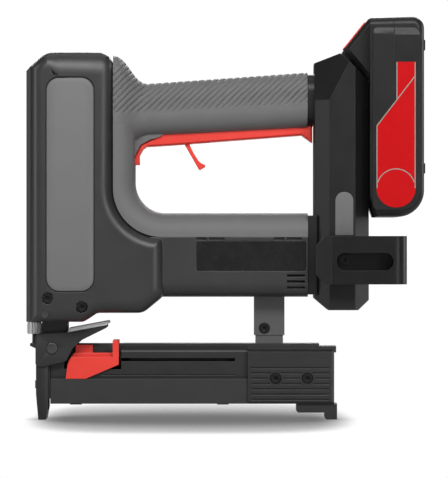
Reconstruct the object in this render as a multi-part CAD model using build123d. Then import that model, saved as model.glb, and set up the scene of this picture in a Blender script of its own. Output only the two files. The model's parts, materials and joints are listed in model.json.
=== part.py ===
from build123d import *

import math
import os

# Cordless stapler with a closed D-handle, a rear battery column and a staple magazine below.
# Millimetres, +Z up, +X from the nose towards the battery, Y across the tool.
# The origin is the middle of the nose's contact face, where the staple leaves.

# Fits and walls
GAP = 0.3  # free gap between neighbouring pieces that move or are assembled
PIN_FIT = 0.05  # radial clearance of a pin in its bore
WALL = 2.6  # moulded housing wall
RUBBER = 3.0  # overmould thickness on the handle

# Head: the tall front housing over the nose
HEAD_WIDTH = 62.0
HEAD_DEPTH = 49.2
HEAD_HEIGHT = 162.0
HEAD_FLOOR = 59.4  # height of the head's underside over the work
HEAD_FRONT = -6.6
HEAD_EDGE = 8.0  # rounding of the head's side edges
FRONT_EDGE = 7.0  # rounding of its upright front edges
HEAD_CORNER = 9.0  # rounding of the head's corners in side view
CROWN_CHAMFER = 9.0  # slope at the front of the head's top
BULGE = 31.0  # how far the head's foot reaches back under the hand opening
FLOOR_STEP = 5.4  # rise of the head's underside behind the nose
FRONT_COVER = 3.0  # thickness of the strip on the front of the head
PANEL_LENGTH = 129.0  # rubber panel on the head's side
PANEL_DEPTH = 29.4
PANEL_CORNER = 8.0
PANEL_SINK = 1.2  # depth of the panel's pocket
PANEL_PROUD = 0.6

# Handle, hand opening and the arm below it
REACH = 117.0  # head to rear column, along the handle
HANDLE_WIDTH = 35.0
HANDLE_EDGE = 12.0
HANDLE_RISE = 5.4  # how far the handle climbs from front to back
HANDLE_TAPER = 2.0  # how much slimmer the handle is at its front end
HANDLE_HEIGHT = 33.8
FLARE = 20.0  # length over which the handle widens into the head
OPENING_HEIGHT = 51.6  # at the rear end
LINER_HEIGHT = 14.4
LINER_EDGE = 12.0
KNUCKLE = 12.6  # depth of the rubber column behind the head
HAND_RADIUS = 18.6  # lower front corner of the hand opening
ARM_WIDTH = 54.0
ARM_HEIGHT = 36.0
ARM_EDGE = 9.0
ARM_CLEAR = 74.4  # height of the arm's underside over the work
PLATE_LENGTH = 66.0  # bare plate on the arm's side
PLATE_HEIGHT = 18.0
PLATE_THICK = 1.0
NOTCH_INSETS = (67.2, 20.6)  # air slots under the strip, from its rear end
VENT_INSET = 12.6
VENT_COUNT = 3
VENT_LENGTH = 10.8
VENT_HEIGHT = 1.4
VENT_PITCH = 3.6

# Trigger
BEZEL_WIDTH = 17.0
BEZEL_THICK = 5.2
BEZEL_DROP = 16.8  # how far its front leg hangs below the handle
NECK_INSET = 1.2  # how much slimmer the collars are than the handle
TRIGGER_WIDTH = 11.0
TRIGGER_DROP = 19.0  # blade tip below the pivot
TRIGGER_PIN = 1.5  # radius
PLUNGER_REACH = 7.4  # pivot to switch plunger
PLUNGER_RADIUS = 1.6

# Rear column and the battery pack
COLUMN_DEPTH = 32.4
COLUMN_WIDTH = 62.0
COLUMN_FOOT = 66.6
COLUMN_CHAMFER = 8.5
FACET_DROP = 28.4  # height of the slanting facets at the column's upper front
COLLAR = 4.2  # neck between the handle and the column
INSERT_WIDTH = 10.8  # rubber strip on the column's side
INSERT_LENGTH = 26.0
PACK_DEPTH = 32.4
PACK_WIDTH = 74.0
PACK_FOOT = 122.4
PACK_TOP = 242.4
PACK_BROW = 21.6  # how far the pack rises above the column
PACK_EDGE = 4.5
PACK_NOSE = 54.0  # width of the pack's upper front, over the column
PAD_STEP = 1.4  # how far the side pads stand out from the pack's rim
PAD_SLOPE = 4.2  # height of the slope along a pad's top edge
PACK_CROWN = 7.0  # rounding of the pack's rear top corner
PACK_HEEL = 16.0  # rounding of the pack's rear bottom corner
PACK_WALL = 2.2
PACK_SEAM = 14.4  # from the pack's front face back to its parting line
CELL_RADIUS = 9.1
CELL_LENGTH = 65.0
CELL_SPACE = 3.0  # least room between two cells
RAIL_DEPTH = 6.0
RAIL_WIDTH = 40.0
RAIL_LIP = 3.0
BLADE_COUNT = 3  # battery contacts
BLADE_PITCH = 9.0
TERMINAL_DEPTH = 11.0  # block that holds the contacts inside the column
LEAD_RADIUS = 1.4
HOOK_HEIGHT = 28.8
HOOK_LENGTH = 37.5
HOOK_LIP = 9.5  # length of the flared end
HOOK_SLOT = 34.0  # window in the outer leaf
HOOK_SLOT_HEIGHT = 10.6
HOOK_GAP = 11.0  # belt space
HOOK_SHEET = 2.0
SCREW_HEAD = 3.0  # head radius of the housing screws
SCREW_SHANK = 1.6

# Nose, magazine and their hardware
MAGAZINE_WIDTH = 20.0
MAGAZINE_HEIGHT = 33.0
MAGAZINE_CLEAR = 9.6
MAGAZINE_FRONT = 4.2
MAGAZINE_BODY = 119.4
MAGAZINE_WALL = 1.8
SHOULDER = 1.6  # step between the magazine's wide foot and its upper walls
SHELF = 24.4  # height of that step
STRIP_HEIGHT = 3.4  # guide strips on top
SLOT_FOOT = 35.2  # slot for the pusher's wings
SLOT_HEIGHT = 2.0
WINDOW_BACK = 47.0
TOE_LENGTH = 7.4
REAR_BLOCK = 52.2  # length of the ribbed block at the magazine's rear
REAR_BLOCK_WIDTH = 24.0
RIB_COUNT = 7
FOOT_LENGTH = 24.6
STRUT_WIDTH = 18.4
STRUT_DEPTH = 16.0
STAPLE_CROWN = 10.6
STAPLE_WIRE = 1.3
STAPLE_LEG = 8.0
RAIL_HALF = 3.6  # half width of the bar under the staples
PUSHER_LENGTH = 32.0
WING = 1.5
NOSE_WIDTH = 19.0
NOSE_FOOT = 10.5
NOSE_REAR = 14.6
CONTACT_TRAVEL = 5.0
CONTACT_PLATE = 1.5
CONTACT_TIP = 6.0  # length of the contact face along the tool
LEVER_PLATE = 1.5
LEVER_X = 5.4
LEVER_Z = 43.2
LEVER_PIN = 2.0  # radius
DOOR_THICK = 2.0
DOOR_HEIGHT = 22.0
DOOR_FOOT = 22.0  # height of the door's hinge over the work
WHEEL_RADIUS = 4.6
WHEEL_HEIGHT = 7.2
STUD_RADIUS = 1.5

# Drive
GUIDE_X = 16.0
GUIDE_RADIUS = 5.0
BUMPER_HEIGHT = 6.0
SPRING_RADIUS = 11.0  # to the middle of the wire
SPRING_WIRE = 3.0
SPRING_TURNS = 8
LIFTER_TEETH = 16
LIFTER_MODULE = 1.5
LIFTER_LENGTH = 8.0
GEAR_MODULE = 0.5
GEAR_LENGTH = 8.0
SUN_TEETH = 10
PLANET_TEETH = 20
PLANET_COUNT = 3
PLANET_PIN = 1.5
MOTOR_RADIUS = 14.0
MOTOR_LENGTH = 34.0
ROTOR_RADIUS = 8.0
SHAFT_RADIUS = 2.0
BACKLASH = 0.12  # at the pitch line of the fine gears

# Places worked out from the sizes above
HEAD_BACK = HEAD_FRONT + HEAD_DEPTH
HEAD_TOP = HEAD_FLOOR + HEAD_HEIGHT
GRIP_END = HEAD_BACK + REACH
COLUMN_FRONT = GRIP_END + COLLAR
COLUMN_BACK = COLUMN_FRONT + COLUMN_DEPTH
COLUMN_MID = (COLUMN_FRONT + COLUMN_BACK) / 2
ARM_TOP = ARM_CLEAR + ARM_HEIGHT
DRIVE_Z = ARM_CLEAR + ARM_HEIGHT / 2  # axis of motor, gearbox and lifter
LINER_TOP = ARM_TOP + LINER_HEIGHT
HANDLE_FLOOR = LINER_TOP + OPENING_HEIGHT  # underside of the handle at its rear end
HANDLE_TOP = HANDLE_FLOOR + HANDLE_HEIGHT
OPENING_FRONT = HEAD_BACK + KNUCKLE
KNUCKLE_RADIUS = HAND_RADIUS + KNUCKLE - 2  # outer corner of the rubber round the opening
PACK_FRONT = COLUMN_BACK + GAP
PACK_BACK = PACK_FRONT + PACK_DEPTH
MAGAZINE_TOP = MAGAZINE_CLEAR + MAGAZINE_HEIGHT
MAGAZINE_BACK = MAGAZINE_FRONT + MAGAZINE_BODY
TOOL_BACK = MAGAZINE_BACK + REAR_BLOCK
FLOOR_TOP = HEAD_FLOOR + FLOOR_STEP + WALL  # inside of the head's floor
NOSE_BACK = 0.0  # middle of the driver blade's channel
WHEEL_X = -5.8
WHEEL_HUB = 3.0
STUD_BOLT = 2.0
TRIGGER_X = OPENING_FRONT + 26.4
TRIGGER_Z = HANDLE_FLOOR - 6.6
COLUMN_TOP = PACK_TOP - PACK_BROW
RAIL_FOOT = PACK_FOOT + 18
RAIL_LENGTH = COLUMN_TOP - 24.4 - RAIL_FOOT
CELL_COUNT = int((PACK_TOP - PACK_FOOT - 10) / (2 * CELL_RADIUS + CELL_SPACE))
BLADE_FOOT = RAIL_FOOT + 8
BLADE_TOP = BLADE_FOOT + 22
HOOK_SCREW_X = COLUMN_FRONT + 17.4
HOOK_SCREW_Z = COLUMN_FOOT + 30.6
HOOK_FOOT = COLUMN_FOOT + 15.6
RAIL_NECK = RAIL_WIDTH / 2 - RAIL_LIP
PACK_SLOT = (PACK_FOOT - 1, RAIL_FOOT + RAIL_LENGTH + GAP)
CELL_X = PACK_BACK - PACK_WALL - CELL_RADIUS - 0.6
BUTTON_WIDTH = 22.0
BUTTON_DEEP = 4.0
BUTTON_PRESS = 2.6  # room behind the button
STAPLE_TOP = 20.5  # crown of the staples in the magazine
DOOR_X = -2.6
DOOR_PIN = 0.9
PUSHER_FRONT = 13.5
SLOT_END = MAGAZINE_BACK - 7.8
WEB_FOOT = SLOT_FOOT - 0.2  # blade that the pusher straddles
WEB_HALF = 0.5
WHEEL_FOOT = HEAD_FLOOR - 7.8
YOKE_FOOT = 44.7  # cross bar of the contact foot under the wheel
WHEEL_RIBS = 16
REAR_SCREWS = (MAGAZINE_BACK + 16.8, MAGAZINE_BACK + 36)
REAR_SCREW_Z = 25.0
STRUT_FOOT = MAGAZINE_TOP + 8.4
STRUT_X = GRIP_END - 23  # middle of the strut that carries the magazine's rear
STRUT_SCREW = (STRUT_X - 3, STRUT_FOOT + 4.2)
PRESSURE = math.radians(25)  # gear flank angle
LIFTER_X = 29.5
LIFTER_SHAFT = 4.0
RING_RADIUS = 14.0
CASE_FRONT = HEAD_BACK + 3.4
MOTOR_FRONT = GRIP_END - 58.6
SUN_X = MOTOR_FRONT - 12
STATOR_X = MOTOR_FRONT + 5
FAN_X = STATOR_X + MOTOR_LENGTH + 2
MOTOR_REAR = FAN_X + 7.5
BEARING_RADIUS = 4.5
BELL = 4.0  # thickness of the motor's end plates
FRAME_BACK = 26.9
FRAME_HALF = HEAD_WIDTH / 2 - WALL - PANEL_SINK - 1.2
FRAME_TOP = FLOOR_TOP + 12
SEAT_FOOT = HEAD_TOP - WALL - 10
HAMMER_FOOT = FRAME_TOP + BUMPER_HEIGHT + 0.4
HAMMER_TOP = HAMMER_FOOT + 14
RACK_BACK = 18.5
RACK_FOOT = FLOOR_TOP + 0.6
BLADE_TIP = 1.0
SWITCH_FOOT = TRIGGER_Z + 12.5
PUSHER_TURNS = 14
HANDLE_SLOPE = HANDLE_RISE / (GRIP_END - OPENING_FRONT)
TOP_SLOPE = (HANDLE_RISE + HANDLE_TAPER) / (GRIP_END - OPENING_FRONT)


def slab(sketch, y_low, y_high):
    """A sketch drawn in X and Z, made solid between two Y values."""
    return extrude(Plane.XZ.offset(-y_high) * sketch, amount=y_high - y_low, dir=(0, -1, 0))


def outline(points, rounds=()):
    """A closed outline; rounds lists (x, z, radius) for the corners that are rounded."""
    face = Polygon(*points, align=None)
    for x, z, radius in rounds:
        corner = min(face.vertices(), key=lambda v: math.hypot(v.X - x, v.Y - z))
        face = fillet(corner, radius)
    return face


def plate(x, z):
    """A rectangle in X and Z from two (low, high) pairs."""
    return Polygon((x[0], z[0]), (x[1], z[0]), (x[1], z[1]), (x[0], z[1]), align=None)


def block(x, y, z):
    """A box from three (low, high) pairs."""
    size = [pair[1] - pair[0] for pair in (x, y, z)]
    return Pos(x[0], y[0], z[0]) * Box(*size, align=(Align.MIN,) * 3)


def rod_x(radius, x_low, x_high, y=0.0, z=0.0):
    rod = Cylinder(radius, x_high - x_low, align=(Align.CENTER, Align.CENTER, Align.MIN))
    return Pos(x_low, y, z) * Rot(0, 90, 0) * rod


def rod_y(radius, y_low, y_high, x, z):
    rod = Cylinder(radius, y_high - y_low, align=(Align.CENTER, Align.CENTER, Align.MIN))
    return Pos(x, y_low, z) * Rot(-90, 0, 0) * rod


def rod_z(radius, z_low, z_high, x=0.0, y=0.0):
    rod = Cylinder(radius, z_high - z_low, align=(Align.CENTER, Align.CENTER, Align.MIN))
    return Pos(x, y, z_low) * rod


def side_edges(solid, half_width):
    """The edges that run round a slab's two side faces."""
    return [e for e in solid.edges() if abs(abs(e.center().Y) - half_width) < 0.01]


def halves(solid):
    """Left (-Y) and right (+Y) mouldings, parted on the middle plane."""
    return split(solid, Plane.XZ, Keep.TOP), split(solid, Plane.XZ, Keep.BOTTOM)


def handle_top_at(x):
    return HANDLE_TOP - TOP_SLOPE * (GRIP_END - x)


def handle_floor_at(x):
    return HANDLE_FLOOR - HANDLE_SLOPE * (GRIP_END - x)


def handle_section(x, flare, inset):
    """The handle's rounded section at x; flare runs from 0 on the bar to 1 at the head."""
    top = handle_top_at(x) + flare * (HEAD_TOP - 1.5 - handle_top_at(HEAD_BACK)) - inset
    floor = handle_floor_at(x) - flare * 8 + inset
    width = HANDLE_WIDTH + flare * (ARM_WIDTH - HANDLE_WIDTH) - 2 * inset
    plane = Plane(origin=(x, 0, (top + floor) / 2), x_dir=(0, 1, 0), z_dir=(1, 0, 0))
    return plane * RectangleRounded(width, top - floor, HANDLE_EDGE - inset)


def handle_form(inset, flare_from=HEAD_BACK):
    """The bar of the handle with its flare into the head, taken in by inset all round."""
    stations = 5
    sections = []
    for i in range(stations):
        share = i / (stations - 1)
        x = flare_from + share * FLARE
        sections.append(handle_section(x, (1 + math.cos(math.pi * share)) / 2, inset))
    bar = loft([sections[-1], handle_section(GRIP_END, 0, inset)], ruled=True)
    return loft(sections) + bar


def liner_form(inset):
    """The rubber column behind the head and the strip along the top of the arm."""
    top = handle_floor_at(HEAD_BACK) + 8
    front = OPENING_FRONT - inset
    shelf = LINER_TOP - inset
    half = ARM_WIDTH / 2 - inset
    corners = [(HEAD_BACK, top), (front, top), (front, shelf)]
    corners += [(GRIP_END, shelf), (GRIP_END, ARM_TOP), (HEAD_BACK, ARM_TOP)]
    rounds = [(front, shelf, HAND_RADIUS + inset), (HEAD_BACK, ARM_TOP, KNUCKLE_RADIUS)]
    form = slab(outline(corners, rounds), -half, half)
    rim = []
    for edge in side_edges(form, half):
        middle = edge.center()
        inside = middle.X > front - 1 and middle.Z > ARM_TOP + 5
        if inside and middle.X < GRIP_END - 1 and middle.Z < top - 1:
            rim.append(edge)
    return fillet(rim, LINER_EDGE - inset)


def screw(x, y, z, length, head=SCREW_HEAD, shank=SCREW_SHANK):
    """A cap screw along +Y whose head's face is at y, with a hexagon socket."""
    tall = head
    body = rod_y(head, y, y + tall, x, z) + rod_y(shank, y + tall, y + length, x, z)
    socket = Plane.XZ.offset(-(y + tall * 0.6)) * Pos(x, z) * RegularPolygon(head * 0.55, 6)
    return body - extrude(socket, amount=tall, dir=(0, -1, 0))


HOUSING_SCREWS = [(3.6, 73.8), (24.0, 68.6)]
NOSE_STUD = (1.8, 64.0)  # bolts that tie the nose block to the housing


def head_form():
    front, back = HEAD_FRONT, HEAD_BACK
    step = HEAD_FLOOR + FLOOR_STEP
    tail = back + BULGE
    corners = [(front, HEAD_FLOOR), (25, HEAD_FLOOR), (33, step), (tail - 13, step)]
    corners += [(tail, ARM_CLEAR + 1), (tail, ARM_TOP), (back, ARM_TOP), (back, HEAD_TOP)]
    corners += [(front + CROWN_CHAMFER, HEAD_TOP), (front, HEAD_TOP - CROWN_CHAMFER * 0.9)]
    rounds = [(25, HEAD_FLOOR, 6), (33, step, 6), (tail - 13, step, HEAD_CORNER)]
    rounds += [(tail, ARM_CLEAR + 1, HEAD_CORNER), (back, ARM_TOP, KNUCKLE_RADIUS)]
    rounds += [(back, HEAD_TOP, HEAD_CORNER), (front + CROWN_CHAMFER, HEAD_TOP, HEAD_CORNER)]
    half = HEAD_WIDTH / 2
    form = slab(outline(corners, rounds), -half, half)
    rim = [e for e in side_edges(form, half) if e.center().X > front + 0.1]
    form = fillet(rim, HEAD_EDGE)
    x, y = front + FRONT_EDGE, half - FRONT_EDGE
    height = (HEAD_FLOOR - 1, HEAD_TOP + 1)
    for side in (-1, 1):
        span = sorted((side * y, side * (half + 1)))
        form -= block((front - 1, x), span, height) - rod_z(FRONT_EDGE, *height, x, side * y)
    return form


def panel_outline(inset):
    middle_x = HEAD_FRONT + 9 + PANEL_DEPTH / 2
    middle_z = HEAD_TOP - 15 - PANEL_LENGTH / 2
    plate = RectangleRounded(PANEL_DEPTH - 2 * inset, PANEL_LENGTH - 2 * inset, PANEL_CORNER - inset)
    return Pos(middle_x, middle_z) * plate


def plate_outline(inset):
    middle = (GRIP_END - PLATE_LENGTH / 2 - 1, ARM_TOP - 2.4 - PLATE_HEIGHT / 2)
    return Pos(*middle) * RectangleRounded(PLATE_LENGTH - 2 * inset, PLATE_HEIGHT - 2 * inset, 1.5)


def side_notches():
    """Short air slots in the arm just under the rubber strip."""
    wide = ARM_WIDTH / 2
    cuts = None
    for start in (GRIP_END - inset for inset in NOTCH_INSETS):
        for x, length in ((start, 6.4), (start + 7.8, 9.2)):
            cut = both_sides(plate((x, x + length), (ARM_TOP - 2.1, ARM_TOP - 0.2)), wide - 2, wide + 1)
            cuts = cut if cuts is None else cuts + cut
    return cuts


def both_sides(sketch, y_low, y_high):
    """The same slab on the left and on the right side."""
    return slab(sketch, y_low, y_high) + slab(sketch, -y_high, -y_low)


def housing():
    """Left and right halves of the main moulding: head, handle core and motor arm."""
    arm_half = ARM_WIDTH / 2
    arm = block((HEAD_BACK, GRIP_END), (-arm_half, arm_half), (ARM_CLEAR, ARM_TOP))
    keel = [e for e in side_edges(arm, arm_half) if e.center().Z < ARM_CLEAR + 0.1]
    arm = fillet(keel, ARM_EDGE)
    shell = head_form() + arm + handle_form(RUBBER) + liner_form(RUBBER)
    head_half = HEAD_WIDTH / 2 - WALL - PANEL_SINK
    head_room = block(
        (HEAD_FRONT + WALL, HEAD_BACK - WALL),
        (-head_half, head_half),
        (HEAD_FLOOR + FLOOR_STEP + WALL, HEAD_TOP - WALL),
    )
    slope = HEAD_TOP - CROWN_CHAMFER - WALL
    crown = [(HEAD_FRONT, slope), (HEAD_FRONT + CROWN_CHAMFER + 3, HEAD_TOP), (HEAD_FRONT, HEAD_TOP)]
    head_room -= slab(Polygon(*crown, align=None), -head_half, head_half)
    arm_room = block(
        (HEAD_BACK - WALL, GRIP_END),
        (-arm_half + WALL + PLATE_THICK, arm_half - WALL - PLATE_THICK),
        (ARM_CLEAR + WALL, ARM_TOP - WALL),
    )
    shell -= head_room + arm_room + handle_form(RUBBER + WALL, HEAD_BACK - 0.01)
    shell -= both_sides(panel_outline(0), HEAD_WIDTH / 2 - PANEL_SINK, HEAD_WIDTH)
    shell -= slab(plate_outline(0), -arm_half - 1, -arm_half + PLATE_THICK)
    shell -= nose_pocket() + trigger_pocket() + strut_socket() + side_notches()
    for i in range(VENT_COUNT):
        z = ARM_CLEAR + 5 + i * VENT_PITCH
        x = GRIP_END - VENT_INSET
        shell -= block((x, x + VENT_LENGTH), (-arm_half, arm_half), (z, z + VENT_HEIGHT))
    for x, z in HOUSING_SCREWS:
        shell -= rod_y(SCREW_HEAD + 0.6, -HEAD_WIDTH, -ARM_WIDTH / 2 + 4, x, z)
        shell -= rod_y(SCREW_SHANK + PIN_FIT, -HEAD_WIDTH, HEAD_WIDTH / 2 - 6, x, z)
    return halves(shell)


def nose_pocket():
    """Room in the head's floor for the nose block, the lever's plates and the depth wheel."""
    half = NOSE_WIDTH / 2 + GAP
    room = block((NOSE_BACK - 1.1, NOSE_REAR + GAP), (-half, half), (HEAD_FLOOR - 1, FLOOR_TOP + 1))
    room += rod_z(WHEEL_HUB + GAP, HEAD_FLOOR - 1, HEAD_FLOOR + 4, WHEEL_X)
    room += rod_z(STUD_RADIUS + GAP, HEAD_FLOOR, HEAD_FLOOR + 9.5, WHEEL_X)
    for side in (-1, 1):
        low, high = sorted((side * 6.2, side * (HEAD_WIDTH + 2) / 2))
        room += rod_y(STUD_BOLT + PIN_FIT, low, high, *NOSE_STUD)
    return room


def trigger_pocket():
    """The slot in the handle's underside that the trigger's upper end turns in."""
    floor = handle_floor_at(TRIGGER_X)
    half = TRIGGER_WIDTH / 2 + 0.7
    return block((TRIGGER_X - 6, TRIGGER_X + 15.5), (-half, half), (floor - 8, floor + RUBBER + WALL + 2))


def strut_socket():
    half, deep = STRUT_WIDTH / 2 + 0.05, STRUT_DEPTH / 2 + 0.05
    return block((STRUT_X - half, STRUT_X + half), (-deep, deep), (ARM_CLEAR - 1, ARM_CLEAR + WALL + 0.1))


def front_cover():
    """The strip on the front of the head, with the chamfered crown."""
    half = HEAD_WIDTH / 2 - FRONT_EDGE
    front = HEAD_FRONT - FRONT_COVER
    top = HEAD_TOP - CROWN_CHAMFER * 0.9
    corners = [(front, HEAD_FLOOR), (HEAD_FRONT, HEAD_FLOOR), (HEAD_FRONT, top), (front, top - 3.2)]
    strip = slab(Polygon(*corners, align=None), -half, half)
    rim = [e for e in side_edges(strip, half) if e.center().X < front + 0.01]
    return chamfer(rim, 2.4) - nose_pocket()


def brow():
    """The corner of the rubber between the column behind the head and the handle's underside."""
    x, z = OPENING_FRONT, handle_floor_at(OPENING_FRONT)
    return [(x - 0.5, z - 12.6), (x + 3.6, z - 4.8), (x + 9.5, z - 1.7), (x + 15.4, z)]


def grip():
    """Left and right rubber overmoulds on the handle and round the hand opening."""
    skin = handle_form(0) + liner_form(0)
    x, z = OPENING_FRONT - 2, handle_floor_at(OPENING_FRONT)
    half = BEZEL_WIDTH / 2 + 1.5
    skin += slab(Polygon((x, z - 16), *brow(), (x + 24, z + 6), (x, z + 6), align=None), -half, half)
    skin -= handle_form(RUBBER) + liner_form(RUBBER)
    return halves(skin - trigger_pocket())


def bezel():
    """The trim strip under the handle that the trigger hangs from."""
    half = BEZEL_WIDTH / 2
    x, z = OPENING_FRONT, handle_floor_at(OPENING_FRONT)
    rear = COLUMN_FRONT - 1.2
    keel = z - BEZEL_THICK
    low = [(x - 0.2, z - BEZEL_DROP), (x + 2.8, z - BEZEL_DROP), (x + 2.7, z - 11.4)]
    low += [(x + 5, keel - 2.2), (x + 7, keel - 0.7), (x + 16, keel - 0.2)]
    low += [(rear - 6.4, handle_floor_at(rear - 6.4) - BEZEL_THICK + 1), (rear, HANDLE_FLOOR - 9)]
    seat = HANDLE_FLOOR + NECK_INSET
    high = [(rear, seat), (GRIP_END, seat), (x + 18, z + 3), *brow()[::-1]]
    strip = slab(Polygon(*low, *high, align=None), -half, half)
    under = [e for e in side_edges(strip, half) if e.center().Z < handle_floor_at(e.center().X) - 2.5]
    strip = chamfer([e for e in under if e.length > 6.0], 1.0)
    strip -= handle_form(0) + liner_form(0)
    ear = TRIGGER_WIDTH / 2 + GAP
    strip -= block((TRIGGER_X - 6, TRIGGER_X + 19), (-ear, ear), (140, 200))
    return strip - rod_y(TRIGGER_PIN, -half + 1, half, TRIGGER_X, TRIGGER_Z)


def trigger():
    """A thin curved blade for the finger, hung on a pin in the trim strip."""
    x, z = TRIGGER_X, TRIGGER_Z
    tip = z - TRIGGER_DROP
    corners = [(x - 4, z + 3), (x - 4, z - 2.4), (x + 3.4, z - 2.8), (x + 12.6, tip), (x + 16.2, tip + 2.2)]
    corners += [(x + 16.2, tip + 3.2), (x + 12.8, z - 14.2), (x + 9.2, z - 8.5), (x + 6.6, z - 3.2)]
    corners += [(x + 11.4, z - 2.4), (x + 11.4, z + 3)]
    rounds = [(x + 12.6, tip, 0.8), (x + 12.8, z - 14.2, 5)]
    half = TRIGGER_WIDTH / 2
    lever = slab(outline(corners, rounds), -half, half)
    return lever - rod_y(TRIGGER_PIN + PIN_FIT, -half - 1, half + 1, x, z)


def trigger_pin():
    half = BEZEL_WIDTH / 2
    return rod_y(TRIGGER_PIN, -half + 1, half, TRIGGER_X, TRIGGER_Z)


def column_outline(inset):
    front, back = COLUMN_FRONT + inset, COLUMN_BACK - inset
    foot, top = COLUMN_FOOT + inset, COLUMN_TOP - inset
    corners = [(front, foot + 6.6), (front + 7.8, foot), (back - 6.6, foot), (back, foot + 6)]
    corners += [(back, top - 17.4), (front + 15.2 - inset, top), (front, top - 5.4)]
    return Polygon(*corners, align=None)


def column_form(inset):
    """The column as a solid, taken in by inset: upright edges chamfered, upper front corners cut off."""
    half = COLUMN_WIDTH / 2 - inset * 1.2
    form = slab(column_outline(inset), -half, half)
    posts = [e for e in side_edges(form, half) if abs(e.tangent_at(0.5).Z) > 0.99]
    form = chamfer(posts, COLUMN_CHAMFER - inset * 0.4)
    for side in (-1, 1):
        low = Vector(COLUMN_FRONT, side * (COLUMN_WIDTH / 2 - COLUMN_CHAMFER), COLUMN_TOP - FACET_DROP)
        mid = Vector(COLUMN_FRONT + 10.5, side * COLUMN_WIDTH / 2, COLUMN_TOP - FACET_DROP + 4.1)
        high = Vector(COLUMN_FRONT + 19.8, side * COLUMN_WIDTH / 2, COLUMN_TOP - 6.5)
        outward = (high - low).cross(mid - low) * side
        facet = Plane(origin=low - outward.normalized() * inset, z_dir=outward)
        form = split(form, facet, Keep.BOTTOM)
    return form


def necks(inset):
    """The collars that join handle, strip and arm to the column."""
    reach = COLLAR + 1 + inset
    span = (GRIP_END, GRIP_END + reach)
    half = ARM_WIDTH / 2 - 1.5 - inset
    bar = extrude(handle_section(GRIP_END, 0, NECK_INSET + inset), amount=reach, dir=(1, 0, 0))
    arm = block(span, (-half, half), (ARM_CLEAR + 1.5 + inset, LINER_TOP - 1.5 - inset))
    return bar + arm


def rail(inset):
    """The T-shaped rail on the back of the column; the pack's slot is the same shape, larger."""
    low = RAIL_FOOT - inset
    high = RAIL_FOOT + RAIL_LENGTH + inset
    back = COLUMN_BACK + RAIL_DEPTH + inset
    neck = RAIL_WIDTH / 2 - RAIL_LIP + inset
    wide = RAIL_WIDTH / 2 + inset
    stem = block((COLUMN_BACK - 0.5, back), (-neck, neck), (low, high))
    return stem + block((COLUMN_BACK + RAIL_LIP - inset, back), (-wide, wide), (low, high))


def blade_cut(inset, x, z):
    """Room for the upright battery contacts between two X and two Z values."""
    cut = None
    for i in range(BLADE_COUNT):
        y = (i - (BLADE_COUNT - 1) / 2) * BLADE_PITCH
        bar = block(x, (y - 0.5 - inset, y + 0.5 + inset), z)
        cut = bar if cut is None else cut + bar
    return cut


def insert_outline():
    middle = Pos(COLUMN_MID + 1.2, ARM_TOP + 27 - INSERT_LENGTH / 2)
    return middle * RectangleRounded(INSERT_WIDTH, INSERT_LENGTH, INSERT_WIDTH / 2 - 0.1)


def column():
    """Left and right mouldings of the rear column with the pack's rail."""
    half = COLUMN_WIDTH / 2
    shell = column_form(0) + necks(0)
    shell -= column_form(WALL) + necks(WALL)
    shell += rail(0)
    rail_back = COLUMN_BACK + RAIL_DEPTH
    shell -= blade_cut(0.1, (COLUMN_BACK - 4, rail_back + 1), (BLADE_FOOT - 0.1, BLADE_TOP + 0.1))
    shell -= both_sides(insert_outline(), half - 1, half + 1)
    shell -= rod_y(SCREW_SHANK + PIN_FIT, -half - 1, -half + 12, HOOK_SCREW_X, HOOK_SCREW_Z)
    return halves(shell)


def belt_hook():
    """A bent steel strip: inner leaf on the column, outer leaf with a slot and a flared lip."""
    low, high = HOOK_FOOT, HOOK_FOOT + HOOK_HEIGHT
    inner = -COLUMN_WIDTH / 2
    front = HOOK_SCREW_X - 8
    bend_x = front + HOOK_LENGTH
    path_in = block((front, bend_x), (inner - HOOK_SHEET, inner), (low, high))
    outer = inner - HOOK_SHEET - HOOK_GAP
    path_out = block((front, bend_x), (outer - HOOK_SHEET, outer), (low, high))
    radius = (inner - outer + HOOK_SHEET) / 2
    middle = (inner + outer - HOOK_SHEET) / 2
    bend = rod_z(radius, low, high, bend_x, middle) - rod_z(radius - HOOK_SHEET, low, high, bend_x, middle)
    bend -= block((bend_x - 20, bend_x), (-80, 0), (low - 1, high + 1))
    tip = front - HOOK_LIP
    flare = [(front, outer), (tip, outer - 4), (tip, outer - 4 - HOOK_SHEET), (front, outer - HOOK_SHEET)]
    lip = extrude(Pos(0, 0, low) * Polygon(*flare, align=None), amount=HOOK_HEIGHT, dir=(0, 0, 1))
    face = [(tip, low + 6), (tip + 5, low), (front, low), (front, high), (tip + 5, high), (tip, high - 6)]
    lip = lip & slab(Polygon(*face, align=None), outer - 10, outer + 1)
    hook = path_in + path_out + bend + lip
    window = RectangleRounded(HOOK_SLOT, HOOK_SLOT_HEIGHT, HOOK_SLOT_HEIGHT / 2 - 0.1)
    window = Pos((front + bend_x) / 2 + 1, low + 13.5) * window
    hook -= slab(window, outer - HOOK_SHEET - 1, outer + 1)
    return hook - rod_y(SCREW_SHANK + PIN_FIT, inner - HOOK_SHEET - 1, inner + 1, HOOK_SCREW_X, HOOK_SCREW_Z)


def pack_outline(inset):
    front, back = PACK_FRONT + inset, PACK_BACK - inset
    foot, top = PACK_FOOT + inset, PACK_TOP - inset
    nose = front - 16.8 + inset * 0.4
    corners = [(front + 3.6, foot), (back, foot), (back, top), (front - 8.1, top - 1.2)]
    corners += [(nose, top - 19.6), (front, top - 37.6), (front, foot + 10)]
    return outline(corners, [(back, foot, PACK_HEEL - inset), (back, top, PACK_CROWN - inset)])


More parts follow.
